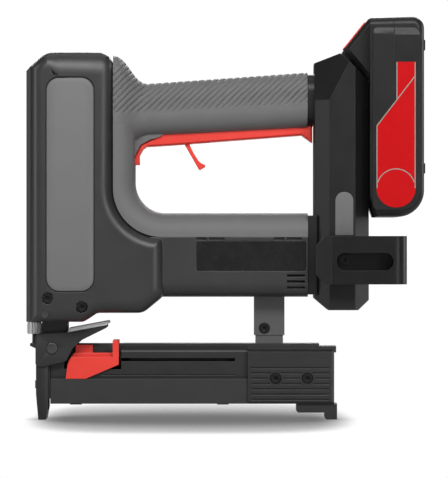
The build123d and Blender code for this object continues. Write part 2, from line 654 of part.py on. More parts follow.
def pack_pad():
    """The raised pads on the pack's sides, inside its rim, sloping in along the top."""
    half = PACK_WIDTH / 2
    front, back = PACK_FRONT + 1.8, PACK_BACK - 2.6
    foot, top = PACK_FOOT + 4, PACK_TOP - 7
    corners = [(front, foot), (back, foot), (back, top), (front, top)]
    rounds = [(front, foot, 3), (back, foot, PACK_HEEL - 3), (back, top, 4), (front, top, 2)]
    pads = both_sides(outline(corners, rounds), half - PAD_STEP - 0.5, half)
    plane = Plane(origin=(front - 1, 0, 0), x_dir=(0, 1, 0), z_dir=(1, 0, 0))
    for side in (-1, 1):
        inner, outer = side * (half - PAD_STEP), side * (half + 0.01)
        slope = Polygon((inner, top + 0.1), (outer, top - PAD_SLOPE), (outer, top + 0.1), align=None)
        pads -= extrude(plane * slope, amount=back - front + 2, dir=(1, 0, 0))
    return pads


def pack_form():
    half = PACK_WIDTH / 2 - PAD_STEP
    whole = block((PACK_FRONT, PACK_BACK), (-half, half), (PACK_FOOT, PACK_TOP))
    form = slab(pack_outline(0), -half, half) & whole
    posts = [e for e in side_edges(form, half) if e.center().X > PACK_FRONT + 1]
    form = fillet(posts, PACK_EDGE)
    nose = slab(pack_outline(0), -PACK_NOSE / 2, PACK_NOSE / 2)
    form += chamfer([e for e in side_edges(nose, PACK_NOSE / 2) if e.center().X < PACK_FRONT - 1], 2.5)
    for z in (PACK_TOP - 16.8, PACK_FOOT + 29.2):
        form += block((PACK_BACK - 2, PACK_BACK + 1), (-half + 9, half - 9), (z - 3, z + 3))
    return form + pack_pad()


def pack_room():
    """Room for the cells, the pack's board and the wiring."""
    half = CELL_LENGTH / 2 + 1.2
    room = slab(pack_outline(PACK_WALL), -half, half)
    return room & block((CELL_X - CELL_RADIUS - 4.2, PACK_BACK), (-half, half), (PACK_FOOT, PACK_TOP))


def button_outline(inset):
    """The release button in side view, lying in the pack's sloping front face; inset widens its pocket."""
    low = Vector(PACK_FRONT - 16.8, PACK_TOP - 19.6)
    high = Vector(PACK_FRONT - 8.1, PACK_TOP - 1.2)
    along = (high - low).normalized()
    inward = Vector(along.Y, -along.X)
    start, end = low + along * (1.6 - inset), high - along * (1.6 - inset)
    deep = BUTTON_DEEP + (BUTTON_PRESS if inset else 0)
    corners = [start - inward, end - inward, end + inward * deep, start + inward * deep]
    return Polygon(*[(corner.X, corner.Y) for corner in corners], align=None)


def battery_button():
    half = BUTTON_WIDTH / 2
    form = slab(button_outline(0), -half, half)
    return chamfer(side_edges(form, half), 0.6)


def battery():
    """The pack's front cover, with slot and contact grooves, and its rear tray."""
    body = pack_form() - pack_room()
    deep = COLUMN_BACK + RAIL_DEPTH + GAP
    neck, wide = RAIL_NECK + GAP, RAIL_WIDTH / 2 + GAP
    body -= block((COLUMN_BACK, deep), (-neck, neck), PACK_SLOT)
    body -= block((COLUMN_BACK + RAIL_LIP - GAP, deep), (-wide, wide), PACK_SLOT)
    body -= blade_cut(GAP + 0.1, (COLUMN_BACK + 2, deep + 2.9), (PACK_FOOT - 1, BLADE_TOP + GAP))
    half = BUTTON_WIDTH / 2 + GAP
    body -= slab(button_outline(GAP), -half, half)
    seam = PACK_FRONT + PACK_SEAM
    cut = block((seam, PACK_BACK + 10), (-60, 60), (PACK_FOOT - 10, PACK_TOP + 10))
    return body - cut, body & cut


def battery_cells():
    cells = []
    pitch = (PACK_TOP - PACK_FOOT - 10 - 2 * CELL_RADIUS) / (CELL_COUNT - 1)
    for i in range(CELL_COUNT):
        z = PACK_FOOT + 5 + CELL_RADIUS + i * pitch
        half = CELL_LENGTH / 2
        cell = rod_y(CELL_RADIUS, -half + 0.8, half, CELL_X, z)
        cells.append(cell + rod_y(3, -half, -half + 0.8, CELL_X, z))
    return Compound(children=cells)


def battery_board():
    """The pack's circuit board with three contact clips."""
    x = CELL_X - CELL_RADIUS - 2.2
    board = block((x, x + 1.6), (-24, 24), (BLADE_FOOT - 14, BLADE_TOP + 30))
    for y, z in ((-12, 12), (4, 14), (14, 6)):
        board += block((x - 1.2, x), (y - 3, y + 3), (BLADE_TOP + z, BLADE_TOP + z + 6))
    return board


def nose_outline():
    back = MAGAZINE_FRONT - GAP
    corners = [(NOSE_BACK - 0.8, NOSE_FOOT), (2, NOSE_FOOT), (back, NOSE_FOOT + 3), (back, 35.7)]
    corners += [(9.6, 35.7), (9.6, 45.3), (NOSE_REAR, 49), (NOSE_REAR, FLOOR_TOP - 0.4)]
    corners.append((NOSE_BACK - 0.8, FLOOR_TOP - 0.4))
    return Polygon(*corners, align=None)


def nose_block():
    half = NOSE_WIDTH / 2
    crown = STAPLE_CROWN / 2 + 0.25
    form = slab(nose_outline(), -half, half)
    form -= block((NOSE_BACK - 2, NOSE_BACK + 0.9), (-crown, crown), (0, FLOOR_TOP))
    form -= block((NOSE_BACK, MAGAZINE_FRONT), (-crown, crown), (0, STAPLE_TOP + 0.5))
    form -= rod_y(LEVER_PIN, -half - 1, half + 1, LEVER_X, LEVER_Z)
    ears = block((DOOR_X - 2.4, NOSE_BACK + 1), (-half, half), (DOOR_FOOT - 3, DOOR_FOOT + 1.7))
    ears -= block((DOOR_X - 4, NOSE_BACK - 0.8), (-half + 2.6, half - 2.6), (DOOR_FOOT - 4, DOOR_FOOT + 4))
    ears -= block((NOSE_BACK - 1.5, NOSE_BACK + 2), (-crown, crown), (0, FLOOR_TOP))
    form += ears
    form -= rod_y(DOOR_PIN, -half, half - 1, DOOR_X, DOOR_FOOT)
    for side in (-1, 1):
        low, high = sorted((side * 6.2, side * half * 1.1))
        form -= rod_y(STUD_BOLT, low, high, *NOSE_STUD)
    return form


def door_pin():
    return rod_y(DOOR_PIN, -NOSE_WIDTH / 2, NOSE_WIDTH / 2 - 1, DOOR_X, DOOR_FOOT)


def nose_door():
    """The hinged plate over the front of the driver channel."""
    half = NOSE_WIDTH / 2
    front = NOSE_BACK - 1.1 - DOOR_THICK
    plate = block((front, NOSE_BACK - 1.1), (-half, half), (DOOR_FOOT + 4.4, DOOR_FOOT + DOOR_HEIGHT))
    neck = half - 2.6 - GAP
    plate += block((front, NOSE_BACK - 1.1), (-neck, neck), (DOOR_FOOT, DOOR_FOOT + 5))
    plate += rod_y(1.5, -neck, neck, DOOR_X, DOOR_FOOT)
    for i in range(3):
        z = DOOR_FOOT + 8 + i * 4
        plate += block((front - 0.8, front + 0.2), (-half + 3, half - 3), (z, z + 1.6))
    return plate - rod_y(DOOR_PIN + PIN_FIT, -half, half, DOOR_X, DOOR_FOOT)


def lever_pin():
    half = NOSE_WIDTH / 2 + 5.4
    pin = rod_y(LEVER_PIN, -half, half, LEVER_X, LEVER_Z)
    pin += rod_y(3.2, -half, -half + 0.8, LEVER_X, LEVER_Z)
    return pin + rod_y(3.2, half - 0.8, half, LEVER_X, LEVER_Z)


def release_lever():
    """Two side plates on the nose, joined by the thumb pad that frees a jam."""
    x, z = LEVER_X, LEVER_Z
    corners = [(x - 7.2, z + 8.8), (x + 9.6, z + 10), (x + 33.1, z + 14.4), (x + 32.9, z + 12.4)]
    corners += [(x + 17.6, z + 4.8), (x + 12.4, z), (x + 8.4, z - 7.8), (x - 7.2, z - 11.4)]
    rounds = [(x - 7.2, z - 11.4, 2), (x + 8.4, z - 7.8, 2), (x + 17.6, z + 4.8, 5), (x - 7.2, z + 8.8, 2)]
    inner = NOSE_WIDTH / 2 + 2.7
    outer = inner + LEVER_PLATE
    plates = both_sides(outline(corners, rounds), inner, outer)
    pad = [(x + 10, z + 9.9), (x + 33.2, z + 14.2), (x + 34.6, z + 15.2), (x + 34, z + 16.4)]
    pad += [(x + 33, z + 16.4), (x + 10, z + 12.1)]
    plates += slab(Polygon(*pad, align=None), -outer, outer)
    return plates - rod_y(LEVER_PIN + PIN_FIT, -outer - 1, outer + 1, x, z)


def contact_foot():
    """The sliding safety foot: pierced shoe, two side bars, yoke and stud."""
    inner = NOSE_WIDTH / 2 + 0.8
    outer = inner + CONTACT_PLATE
    tip = CONTACT_TIP / 2
    shoe_top = NOSE_FOOT - CONTACT_TRAVEL - GAP
    front, neck, back = WHEEL_X - 2.2, WHEEL_X + 1.4, tip - 0.2
    top = YOKE_FOOT + CONTACT_PLATE
    corners = [(-tip, 0), (tip, 0), (back, NOSE_FOOT - 1.5), (back, top), (front, top), (front, YOKE_FOOT)]
    corners += [(neck, YOKE_FOOT - 1.7), (neck, NOSE_FOOT + 5.1)]
    bars = both_sides(Polygon(*corners, align=None), inner, outer)
    shoe = block((-tip, tip), (-outer, outer), (0, shoe_top))
    crown = STAPLE_CROWN / 2 + 0.35
    shoe -= block((-1.1, 1.1), (-crown, crown), (-1, shoe_top + 1))
    yoke = block((front, WHEEL_X + 2.4), (-outer, outer), (YOKE_FOOT, top))
    return bars + shoe + yoke + rod_z(STUD_RADIUS, top - 0.2, HEAD_FLOOR + 3.5, WHEEL_X)


def depth_wheel():
    """The knurled wheel that sets how deep the staple goes."""
    wheel = rod_z(WHEEL_RADIUS - 0.5, WHEEL_FOOT, WHEEL_FOOT + WHEEL_HEIGHT, WHEEL_X)
    for i in range(WHEEL_RIBS):
        turn = 2 * math.pi * i / WHEEL_RIBS
        reach = WHEEL_RADIUS - 0.6
        x, y = WHEEL_X + reach * math.cos(turn), reach * math.sin(turn)
        wheel += rod_z(0.6, WHEEL_FOOT + 0.6, WHEEL_FOOT + WHEEL_HEIGHT - 0.6, x, y)
    wheel += rod_z(WHEEL_HUB, WHEEL_FOOT, HEAD_FLOOR + 3.6, WHEEL_X)
    return wheel - rod_z(STUD_RADIUS + GAP, WHEEL_FOOT - 1, HEAD_FLOOR + 5, WHEEL_X)


def magazine_body():
    """The staple channel: a stepped steel trough, open at the front, slotted for the pusher."""
    wide, narrow = MAGAZINE_WIDTH / 2, MAGAZINE_WIDTH / 2 - SHOULDER
    room = narrow - MAGAZINE_WALL
    front, back = MAGAZINE_FRONT, MAGAZINE_BACK
    top = MAGAZINE_TOP
    form = block((front, back), (-wide, wide), (MAGAZINE_CLEAR, SHELF))
    form += block((front, back), (-narrow, narrow), (SHELF - 1, top))
    form += block((WINDOW_BACK + 1, back), (-narrow, narrow), (top - 1, top + STRIP_HEIGHT))
    form -= block((front - 1, back + 1), (-room, room), (MAGAZINE_CLEAR + 2, top - 2))
    form -= block((front - 1, back - 3), (-3, 3), (top - 4, top + 5))
    over = top + STRIP_HEIGHT + 1
    step = MAGAZINE_FRONT + 8.3
    window = plate((0, WINDOW_BACK), (SHELF + 6, over)) - plate((0, step), (SHELF + 5, SLOT_FOOT))
    form -= slab(window, -wide - 1, wide + 1)
    form -= block((WINDOW_BACK - 1, SLOT_END), (-wide, wide), (SLOT_FOOT, SLOT_FOOT + SLOT_HEIGHT))
    groove = block((MAGAZINE_FRONT + 31, SLOT_END), (-wide, wide), (SHELF + 2.2, SHELF + 3))
    form -= groove - block((0, back), (-narrow + 0.5, narrow - 0.5), (0, top))
    for x in (MAGAZINE_FRONT + 11.8, MAGAZINE_BACK - 18.6):
        form += block((x, x + 7), (-wide + 2, wide - 2), (MAGAZINE_CLEAR - 0.6, MAGAZINE_CLEAR + 1))
    return form


def nose_studs():
    """The two bolts that tie the nose block to the housing halves."""
    reach = HEAD_WIDTH / 2 - 0.4
    return rod_y(STUD_BOLT, -reach, -6.2, *NOSE_STUD), rod_y(STUD_BOLT, 6.2, reach, *NOSE_STUD)


def magazine_rail():
    """The inner bar the staples ride on."""
    top = STAPLE_TOP - STAPLE_WIRE - 0.1
    return block((MAGAZINE_FRONT + 0.6, MAGAZINE_BACK), (-RAIL_HALF, RAIL_HALF), (MAGAZINE_CLEAR + 2, top))


def staple_strip():
    """What is left of the strip of staples, legs down on the rail."""
    outer, wire = STAPLE_CROWN / 2, STAPLE_WIRE
    front = NOSE_BACK + 1.0
    strip = block((front, PUSHER_FRONT - 0.3), (-outer, outer), (STAPLE_TOP - STAPLE_LEG, STAPLE_TOP))
    return strip - block((front - 1, PUSHER_FRONT), (-outer + wire, outer - wire), (0, STAPLE_TOP - wire))


def pusher():
    """The sled that feeds the staples, with the outer wings that a thumb draws back."""
    half = MAGAZINE_WIDTH / 2 - SHOULDER - MAGAZINE_WALL - GAP
    x = PUSHER_FRONT
    back = x + PUSHER_LENGTH
    top = MAGAZINE_TOP - 2 - GAP
    corners = [(x, 13), (x + 9, 13), (x + 12.3, 24.9), (back, 34), (back, top), (x + 5, top), (x + 1.5, 35.4)]
    sled = slab(Polygon(*corners, align=None), -half, half)
    fin = [(x + 5, top - 2), (x + 6, MAGAZINE_TOP + 2.4), (x + 16, MAGAZINE_TOP + 2.4), (x + 16, top - 2)]
    sled += slab(Polygon(*fin, align=None), -2.7, 2.7)
    straddle = RAIL_HALF + 2 * GAP
    sled -= block((x - 1, back + 1), (-straddle, straddle), (0, STAPLE_TOP - STAPLE_WIRE + GAP))
    inner = MAGAZINE_WIDTH / 2 - SHOULDER + GAP
    outer = inner + WING
    wing = [(x, SHELF + GAP), (x + 12, SHELF + GAP), (back, 33.2), (back, 38), (x + 3.4, 38), (x + 1.2, 34)]
    sled += both_sides(Polygon(*wing, align=None), inner, outer)
    sled += both_sides(plate((back - 3.6, back), (SLOT_FOOT + 0.8, MAGAZINE_TOP + 5.4)), inner, outer)
    tab = plate((x + 8, back), (SLOT_FOOT + GAP, SLOT_FOOT + SLOT_HEIGHT - GAP))
    sled += both_sides(tab, half - 1, outer)
    web = WEB_HALF + GAP
    return sled - block((x - 1, back + 1), (-web, web), (WEB_FOOT - GAP, MAGAZINE_TOP + 6))


def magazine_rear_block():
    """The ribbed block that closes the magazine and takes its screws."""
    half = REAR_BLOCK_WIDTH / 2
    front, back = MAGAZINE_BACK, TOOL_BACK
    foot, top = MAGAZINE_CLEAR, MAGAZINE_TOP
    form = block((front, back), (-half, half), (foot, top))
    posts = [e for e in side_edges(form, half) if e.center().X > front + 1]
    form = chamfer(posts, 1.5)
    pitch = (REAR_SCREW_Z + 9 - foot - 2) / RIB_COUNT
    for i in range(RIB_COUNT):
        z = foot + 2 + i * pitch
        cut = block((front + 2, back - 3), (-half - 1, half + 1), (z, z + pitch * 0.35))
        form -= cut - block((front, back), (-half + 0.8, half - 0.8), (foot, top))
    for x in REAR_SCREWS:
        form += rod_y(4.6, -half, half, x, REAR_SCREW_Z)
        form -= rod_y(SCREW_SHANK, -half - 1, half - 3, x, REAR_SCREW_Z)
        form -= rod_y(SCREW_HEAD + 0.4, -half - 1, -half + 2.4, x, REAR_SCREW_Z)
    narrow = MAGAZINE_WIDTH / 2 - SHOULDER
    form += block((front, back - 9), (-narrow, narrow), (top - 1, top + STRIP_HEIGHT))
    form += block((back - 9.6, back + 1.2), (-half + 2, half - 2), (top - 2, top + 1.8))
    room = narrow - MAGAZINE_WALL
    form += block((WINDOW_BACK, front + 1), (-WEB_HALF, WEB_HALF), (WEB_FOOT, top - 2.1))
    return form + block((front - 2.4, front + 1), (-room, room), (STAPLE_TOP, top - 2.1))


def magazine_foot():
    """The rubber foot the tool stands on."""
    back = TOOL_BACK + 1.8
    sole = MAGAZINE_CLEAR - 5.4
    front, toe = back - FOOT_LENGTH, back - TOE_LENGTH
    corners = [(front, MAGAZINE_CLEAR), (back, MAGAZINE_CLEAR), (back, 0)]
    corners += [(toe, 0), (toe, sole), (front, sole)]
    half = REAR_BLOCK_WIDTH / 2 - 3
    return slab(outline(corners, [(toe, 0, 1.5), (front, sole, 1.5)]), -half, half)


def magazine_strut():
    """The post that carries the magazine's rear end from the arm."""
    half, deep = STRUT_WIDTH / 2, STRUT_DEPTH / 2
    post = block((STRUT_X - half, STRUT_X + half), (-deep, deep), (STRUT_FOOT, ARM_CLEAR + WALL))
    post -= rod_y(SCREW_HEAD + 0.3, -deep - 1, -deep + 2.4, *STRUT_SCREW)
    return post - rod_y(SCREW_SHANK, -deep - 1, deep - 2, *STRUT_SCREW)


def strut_bracket():
    half, deep = STRUT_WIDTH / 2 - 0.9, STRUT_DEPTH / 2 - 0.6
    return block((STRUT_X - half, STRUT_X + half), (-deep, deep), (MAGAZINE_TOP + STRIP_HEIGHT, STRUT_FOOT))


def tooth_points(module, teeth, addendum, dedendum, backlash):
    """One tooth about angle 0 as (radius, half angle) pairs from root to tip, involute flanks."""
    pitch = module * teeth / 2
    base = pitch * math.cos(PRESSURE)
    root, tip = pitch - dedendum * module, pitch + addendum * module
    half_pitch = (math.pi * module / 2 - backlash) / 2 / pitch

    def involute(radius):
        angle = math.acos(min(1.0, base / radius))
        return math.tan(angle) - angle

    pairs = []
    steps = 4
    start = max(base, root)
    if root < base:
        pairs.append((root, half_pitch + involute(pitch)))
    for i in range(steps + 1):
        radius = start + (tip - start) * i / steps
        pairs.append((radius, half_pitch + involute(pitch) - involute(radius)))
    return pairs


def gear_face(module, teeth, phase, backlash, kept=None, addendum=0.8, dedendum=1.05):
    """A gear's outline about its own axis; kept limits the teeth that are cut."""
    pairs = tooth_points(module, teeth, addendum, dedendum, backlash)
    points = []
    for i in range(teeth):
        middle = phase + 2 * math.pi * i / teeth
        full = kept is None or i in kept
        row = pairs if full else pairs[:1]
        flank = [(r, middle - a) for r, a in row] + [(r, middle + a) for r, a in reversed(row)]
        points += [(r * math.cos(a), r * math.sin(a)) for r, a in flank]
    return Polygon(*points, align=None)


def on_drive(x, sketch, length, y=0.0, z=0.0):
    """A sketch in Y and Z about the drive's axis, made solid from x along +X."""
    plane = Plane(origin=(x, y, DRIVE_Z + z), x_dir=(0, 1, 0), z_dir=(1, 0, 0))
    return extrude(plane * sketch, amount=length, dir=(1, 0, 0))


def planet_places():
    """Angle, centre and tooth phase of each planet, meshed with the sun's tooth at angle 0."""
    sun, planet = SUN_TEETH * GEAR_MODULE / 2, PLANET_TEETH * GEAR_MODULE / 2
    places = []
    for i in range(PLANET_COUNT):
        at = math.pi / 2 + 2 * math.pi * i / PLANET_COUNT
        step = 2 * math.pi / SUN_TEETH
        near = round(at / step) * step
        phase = at + math.pi - (near - at) * sun / planet + math.pi / PLANET_TEETH
        places.append((at, (sun + planet) * math.cos(at), (sun + planet) * math.sin(at), phase))
    return places


def sun_gear():
    face = gear_face(GEAR_MODULE, SUN_TEETH, 0.0, BACKLASH)
    return on_drive(SUN_X - 0.6, face, GEAR_LENGTH + 1.2)


def planet(number):
    at, y, z, phase = planet_places()[number]
    face = gear_face(GEAR_MODULE, PLANET_TEETH, phase, BACKLASH)
    return on_drive(SUN_X, face - Circle(PLANET_PIN + PIN_FIT), GEAR_LENGTH, y, z)


def ring_gear():
    at, y, z, phase = planet_places()[0]
    small, teeth = PLANET_TEETH * GEAR_MODULE / 2, SUN_TEETH + 2 * PLANET_TEETH
    step = 2 * math.pi / PLANET_TEETH
    near = phase + round((at - phase) / step) * step
    ring = at + (near - at) * small / (teeth * GEAR_MODULE / 2)
    room = gear_face(GEAR_MODULE, teeth, ring, -BACKLASH, None, 1.05, 0.75)
    return on_drive(SUN_X - 0.5, Circle(RING_RADIUS) - room, GEAR_LENGTH + 1)


def planet_carrier():
    """Plate with three pins and the long shaft that turns the lifter."""
    plate = rod_x(10.5, SUN_X - 4.5, SUN_X - 1, 0, DRIVE_Z)
    for at, y, z, phase in planet_places():
        plate += rod_x(PLANET_PIN, SUN_X - 2, SUN_X + GEAR_LENGTH, y, DRIVE_Z + z)
    return plate + rod_x(LIFTER_SHAFT, LIFTER_X - 1.5, SUN_X - 4, 0, DRIVE_Z)


def lifter_pinion():
    """The part-toothed pinion that winds the hammer up and lets it go."""
    kept = [i % LIFTER_TEETH for i in range(-5, 2)]
    face = gear_face(LIFTER_MODULE, LIFTER_TEETH, 0.0, 0.3, kept)
    return on_drive(LIFTER_X, face - Circle(LIFTER_SHAFT), LIFTER_LENGTH)


def gear_case():
    """The tube that holds ring gear and shaft in line with the motor."""
    case = rod_x(RING_RADIUS + 0.8, CASE_FRONT, MOTOR_FRONT, 0, DRIVE_Z)
    case -= rod_x(RING_RADIUS, CASE_FRONT + 5, MOTOR_FRONT + 1, 0, DRIVE_Z)
    return case - rod_x(LIFTER_SHAFT + PIN_FIT, CASE_FRONT - 1, CASE_FRONT + 6, 0, DRIVE_Z)


def motor_bells():
    """The motor's front and rear end plates with their bearing seats."""
    bells = None
    for x in (MOTOR_FRONT, MOTOR_REAR):
        bell = on_drive(x, Circle(MOTOR_RADIUS) - Circle(BEARING_RADIUS), BELL)
        bells = bell if bells is None else bells + bell
    return bells


def motor_bearings():
    rings = None
    for x in (MOTOR_FRONT, MOTOR_REAR):
        ring = on_drive(x, Circle(BEARING_RADIUS) - Circle(SHAFT_RADIUS + PIN_FIT), BELL)
        rings = ring if rings is None else rings + ring
    return rings


def motor_stator():
    face = Circle(MOTOR_RADIUS) - Circle(ROTOR_RADIUS + 0.5)
    for i in range(6):
        slot = Rot(0, 0, 60 * i) * Pos(ROTOR_RADIUS + 2.6, 0) * Rectangle(2.6, 3.4)
        face -= slot
    return on_drive(STATOR_X, face, MOTOR_LENGTH)


def rotor():
    core = rod_x(ROTOR_RADIUS, STATOR_X, STATOR_X + MOTOR_LENGTH, 0, DRIVE_Z)
    return core + rod_x(SHAFT_RADIUS, SUN_X + GEAR_LENGTH, MOTOR_REAR + 4.6, 0, DRIVE_Z) + sun_gear()


def motor_fan():
    hub = rod_x(4, FAN_X, FAN_X + 6, 0, DRIVE_Z) + rod_x(12.4, FAN_X, FAN_X + 1.2, 0, DRIVE_Z)
    for i in range(8):
        blade = Rot(0, 0, 45 * i) * Pos(8, 0) * Rectangle(8.6, 1.2)
        hub += on_drive(FAN_X, blade, 6)
    return hub - rod_x(SHAFT_RADIUS, FAN_X - 1, FAN_X + 7, 0, DRIVE_Z)


def drive_frame():
    """The base that carries guide rod and bumper over the nose."""
    base = block((HEAD_FRONT + WALL + 0.3, FRAME_BACK), (-FRAME_HALF, FRAME_HALF), (FLOOR_TOP, FRAME_TOP))
    crown = STAPLE_CROWN / 2 + 0.3
    base -= block((-1.1, 1.1), (-crown, crown), (60, FRAME_TOP + 1))
    base -= rod_z(GUIDE_RADIUS, FLOOR_TOP + 3, FRAME_TOP + 1, GUIDE_X)
    base -= rod_z(STUD_RADIUS + 0.5, 60, HEAD_FLOOR + 10, WHEEL_X)
    for x, z in HOUSING_SCREWS:
        base -= rod_y(SCREW_SHANK + 0.2, -FRAME_HALF - 1, FRAME_HALF + 1, x, z)
    return base


def guide_rod():
    return rod_z(GUIDE_RADIUS, FLOOR_TOP + 3, SEAT_FOOT + 5, GUIDE_X)


def bumper():
    ring = rod_z(10, FRAME_TOP, FRAME_TOP + BUMPER_HEIGHT, GUIDE_X)
    return ring - rod_z(GUIDE_RADIUS, FRAME_TOP - 1, FRAME_TOP + BUMPER_HEIGHT + 1, GUIDE_X)


def spring_seat():
    """The plate under the crown that the main spring pushes against."""
    half = FRAME_HALF - 2
    seat = block((2, HEAD_BACK - WALL - 0.3), (-half, half), (SEAT_FOOT, SEAT_FOOT + 5))
    seat += rod_z(7.6, SEAT_FOOT - 4, SEAT_FOOT + 1, GUIDE_X)
    return seat - rod_z(GUIDE_RADIUS, SEAT_FOOT - 5, SEAT_FOOT + 6, GUIDE_X)


def main_spring():
    """Square-wire coil from the hammer up to the seat."""
    height = SEAT_FOOT - HAMMER_TOP - SPRING_WIRE - 0.2
    middle = Pos(GUIDE_X, 0, HAMMER_TOP + SPRING_WIRE / 2 + 0.1)
    path = Helix(height / SPRING_TURNS, height, SPRING_RADIUS)
    wire = Plane(origin=path @ 0, x_dir=(1, 0, 0), z_dir=path % 0) * Rectangle(SPRING_WIRE, SPRING_WIRE)
    return middle * sweep(wire, path, is_frenet=True)


def hammer_carriage():
    """The sliding hammer: hub on the guide rod, arm to the blade, arm to the rack."""
    hub = rod_z(10.6, HAMMER_FOOT, HAMMER_TOP, GUIDE_X)
    hub += block((-2.6, GUIDE_X), (-7.5, 7.5), (HAMMER_FOOT, HAMMER_TOP))
    rack_y = LIFTER_MODULE * LIFTER_TEETH / 2
    hub += block((10, LIFTER_X - 1), (4, RACK_BACK), (HAMMER_FOOT, HAMMER_TOP))
    root = rack_y + 1.05 * LIFTER_MODULE
    hub += block((LIFTER_X - 2, LIFTER_X + LIFTER_LENGTH - 1), (root, RACK_BACK), (RACK_FOOT, HAMMER_TOP))
    pitch = math.pi * LIFTER_MODULE
    half = pitch / 4 - 0.15
    lean = 0.8 * LIFTER_MODULE * math.tan(PRESSURE)
    drop = 1.05 * LIFTER_MODULE * math.tan(PRESSURE)
    tip = rack_y - 0.8 * LIFTER_MODULE
    for i in range(-5, 3):
        z = DRIVE_Z + (i - 0.5) * pitch
        if z - half - drop > RACK_FOOT and z + half + drop < HAMMER_TOP:
            tooth = [(root + 0.2, z - half - drop), (tip, z - half + lean)]
            tooth += [(tip, z + half - lean), (root + 0.2, z + half + drop)]
            plane = Plane(origin=(LIFTER_X, 0, 0), x_dir=(0, 1, 0), z_dir=(1, 0, 0))
            hub += extrude(plane * Polygon(*tooth, align=None), amount=LIFTER_LENGTH - 1, dir=(1, 0, 0))
    hub -= rod_z(GUIDE_RADIUS + PIN_FIT, HAMMER_FOOT - 1, HAMMER_TOP + 1, GUIDE_X)
    crown = STAPLE_CROWN / 2 - 0.1
    wire = STAPLE_WIRE / 2
    return hub - block((-wire, wire), (-crown, crown), (HAMMER_FOOT - 1, HAMMER_TOP - 3))


def driver_blade():
    crown = STAPLE_CROWN / 2 - 0.1
    return block((-STAPLE_WIRE / 2, STAPLE_WIRE / 2), (-crown, crown), (BLADE_TIP, HAMMER_TOP - 3))


def trigger_switch():
    x = TRIGGER_X + PLUNGER_REACH
    case = block((x - 8, x + 18), (-8.5, 8.5), (SWITCH_FOOT, SWITCH_FOOT + 13))
    return case - rod_z(PLUNGER_RADIUS + PIN_FIT, SWITCH_FOOT - 1, SWITCH_FOOT + 6, x)


def switch_plunger():
    x = TRIGGER_X + PLUNGER_REACH
    tip = TRIGGER_Z + 3 + GAP + 0.1 + PLUNGER_RADIUS
    return rod_z(PLUNGER_RADIUS, tip, SWITCH_FOOT + 3.4, x) + Pos(x, 0, tip) * Sphere(PLUNGER_RADIUS)


def lead(y):
    """One power lead from the switch through the handle and down the column to the contacts."""
    z = SWITCH_FOOT + LEAD_RADIUS + 0.6
    start = TRIGGER_X + PLUNGER_REACH + 18
    end = COLUMN_BACK - WALL - TERMINAL_DEPTH + LEAD_RADIUS + 0.4
    run = rod_x(LEAD_RADIUS, start, end, y, z) + rod_z(LEAD_RADIUS, BLADE_TOP + 3, z, end, y)
    return run + Pos(end, y, z) * Sphere(LEAD_RADIUS)


def power_leads():
    return Compound(children=[lead(-3.5), lead(3.5)])


def control_board():
    front, foot = COLUMN_FRONT + WALL, COLUMN_FOOT + 19.4
    board = block((front, front + 1.6), (-18, 18), (foot, foot + 64))
    for y, rise, size in ((-8, 10, 10), (6, 14, 6), (-4, 34, 8), (8, 46, 9)):
        z = foot + rise
        board += block((front + 1.6, front + 4.6), (y, y + size * 0.7), (z, z + size))
    return board


def terminal_block():
    """The insulating block inside the column and its upright contact blades."""
    back = COLUMN_BACK - WALL
    body = block((back - TERMINAL_DEPTH, back - 0.1), (-16, 16), (BLADE_FOOT - 3, BLADE_TOP + 3))
    return body + blade_cut(0, (back - 4, COLUMN_BACK + RAIL_DEPTH + 1.8), (BLADE_FOOT, BLADE_TOP))


def pusher_spring():
    """The coil behind the pusher."""
    start, end = PUSHER_FRONT + PUSHER_LENGTH + 0.2, MAGAZINE_BACK - 2.6
    path = Helix((end - start - 1.2) / PUSHER_TURNS, end - start - 1.2, 4.2)
    wire = Plane(origin=path @ 0, x_dir=(1, 0, 0), z_dir=path % 0) * Rectangle(1.0, 1.0)
    return Pos(start + 0.6, 0, 30) * Rot(0, 90, 0) * sweep(wire, path, is_frenet=True)


